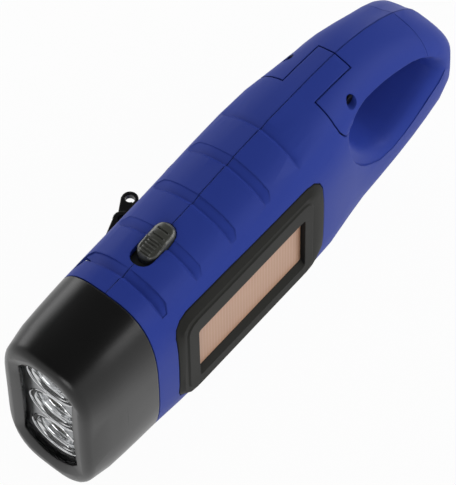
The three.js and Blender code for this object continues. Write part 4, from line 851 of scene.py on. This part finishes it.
world = bpy.data.worlds.new("white_room")
bpy.context.scene.world = world
world.use_nodes = True
tree = world.node_tree
room_light = 0.25
ceiling_light = 0.06
wall_top, ceiling_start = 0.25, 0.75
place = add(tree, "ShaderNodeTexCoord").outputs["Generated"]
height = add(tree, "ShaderNodeSeparateXYZ", links={"Vector": place}).outputs["Z"]
seen_room = add(
    tree,
    "ShaderNodeMapRange",
    {"From Min": wall_top, "From Max": ceiling_start, "To Min": 1, "To Max": ceiling_light},
    {"Value": height},
    interpolation_type="SMOOTHSTEP",
)
level = add(
    tree,
    "ShaderNodeMapRange",
    {"To Min": room_light},
    {"Value": looked_at(tree), "To Max": seen_room.outputs["Result"]},
)
tree.links.new(level.outputs["Result"], tree.nodes["Background"].inputs["Strength"])
tree.nodes["Background"].inputs["Color"].default_value = (1, 1, 1, 1)
print("room light:", room_light, "ceiling:", ceiling_light)

# %% [markdown]
# ## Lamps of the studio
# Three soft lamps stand low round the torch, each a rectangle a metre away. The two large ones draw
# a broad sheen down both flanks and leave the ridge between them calm, and the small one in front
# lights the face of the head and the cups.

# %% Studio lamps
lamp_distance = 1.0
lamp_target = Vector((0, 0, 30 * mm))


def soft_lamp(name, direction, width, height, power):
    """A rectangular lamp in a direction, aimed at the torch: sizes in metres, power in watts."""
    data = bpy.data.lights.new(name, "AREA")
    data.shape = "RECTANGLE"
    data.size = width
    data.size_y = height
    data.energy = power
    lamp = bpy.data.objects.new(name, data)
    bpy.context.scene.collection.objects.link(lamp)
    toward = Vector(direction).normalized()
    spin = (-toward).to_track_quat("-Z", "Y").to_matrix().to_4x4()
    lamp.matrix_world = Matrix.Translation(toward * lamp_distance + lamp_target) @ spin
    return lamp


studio_lamps = [
    soft_lamp("lamp_solar_side", (-0.61, 0.7, 0.37), 0.9, 0.55, power=5.5),
    soft_lamp("lamp_crank_side", (-0.15, -0.93, 0.34), 0.9, 0.55, power=4.2),
    soft_lamp("lamp_front", (0.88, 0.32, 0.34), 0.5, 0.4, power=2.2),
]
print("studio lamps:", ", ".join(lamp.name for lamp in studio_lamps))

# %% [markdown]
# ## Floor
# The floor is a sheet of white paper. Its own shading keeps the torch's soft shadow, and most of
# what is seen of it glows with a strength of 1, which is plain white, without putting more light on
# the torch.

# %% Floor
floor_glow = 0.96
floor_half = 4
floor_gap = 0.02 * mm
# Matt paper: an even white with no gloss of its own.
floor_material, tree, shader = begin("floor_white_paper", Roughness=0.9, Specular_IOR_Level=0.1)
shader.inputs["Base Color"].default_value = linear("F4F4F4")
glow = add(tree, "ShaderNodeEmission", {"Strength": 1})
part = add(tree, "ShaderNodeMath", operation="MULTIPLY")
tree.links.new(looked_at(tree), part.inputs[0])
part.inputs[1].default_value = floor_glow
mixed = add(tree, "ShaderNodeMixShader", links={"Fac": part.outputs[0]})
tree.links.new(shader.outputs[0], mixed.inputs[1])
tree.links.new(glow.outputs[0], mixed.inputs[2])
tree.links.new(mixed.outputs[0], tree.nodes["Material Output"].inputs["Surface"])
bm = bmesh.new()
bmesh.ops.create_grid(bm, x_segments=1, y_segments=1, size=floor_half)
mesh = bpy.data.meshes.new("floor")
bm.to_mesh(mesh)
bm.free()
mesh.materials.append(floor_material)
floor = bpy.data.objects.new("floor", mesh)
floor.data.transform(Matrix.Translation((0, 0, cad_low.z - floor_gap)))
bpy.context.scene.collection.objects.link(floor)
floor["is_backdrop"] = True
bpy.context.scene.view_settings.view_transform = "Standard"
print("floor just under", round(cad_low.z / mm, 2), "mm")

# %% Sizes
low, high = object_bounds()
print("dressed box in mm:", [round(x / mm, 1) for x in (*low, *high)])
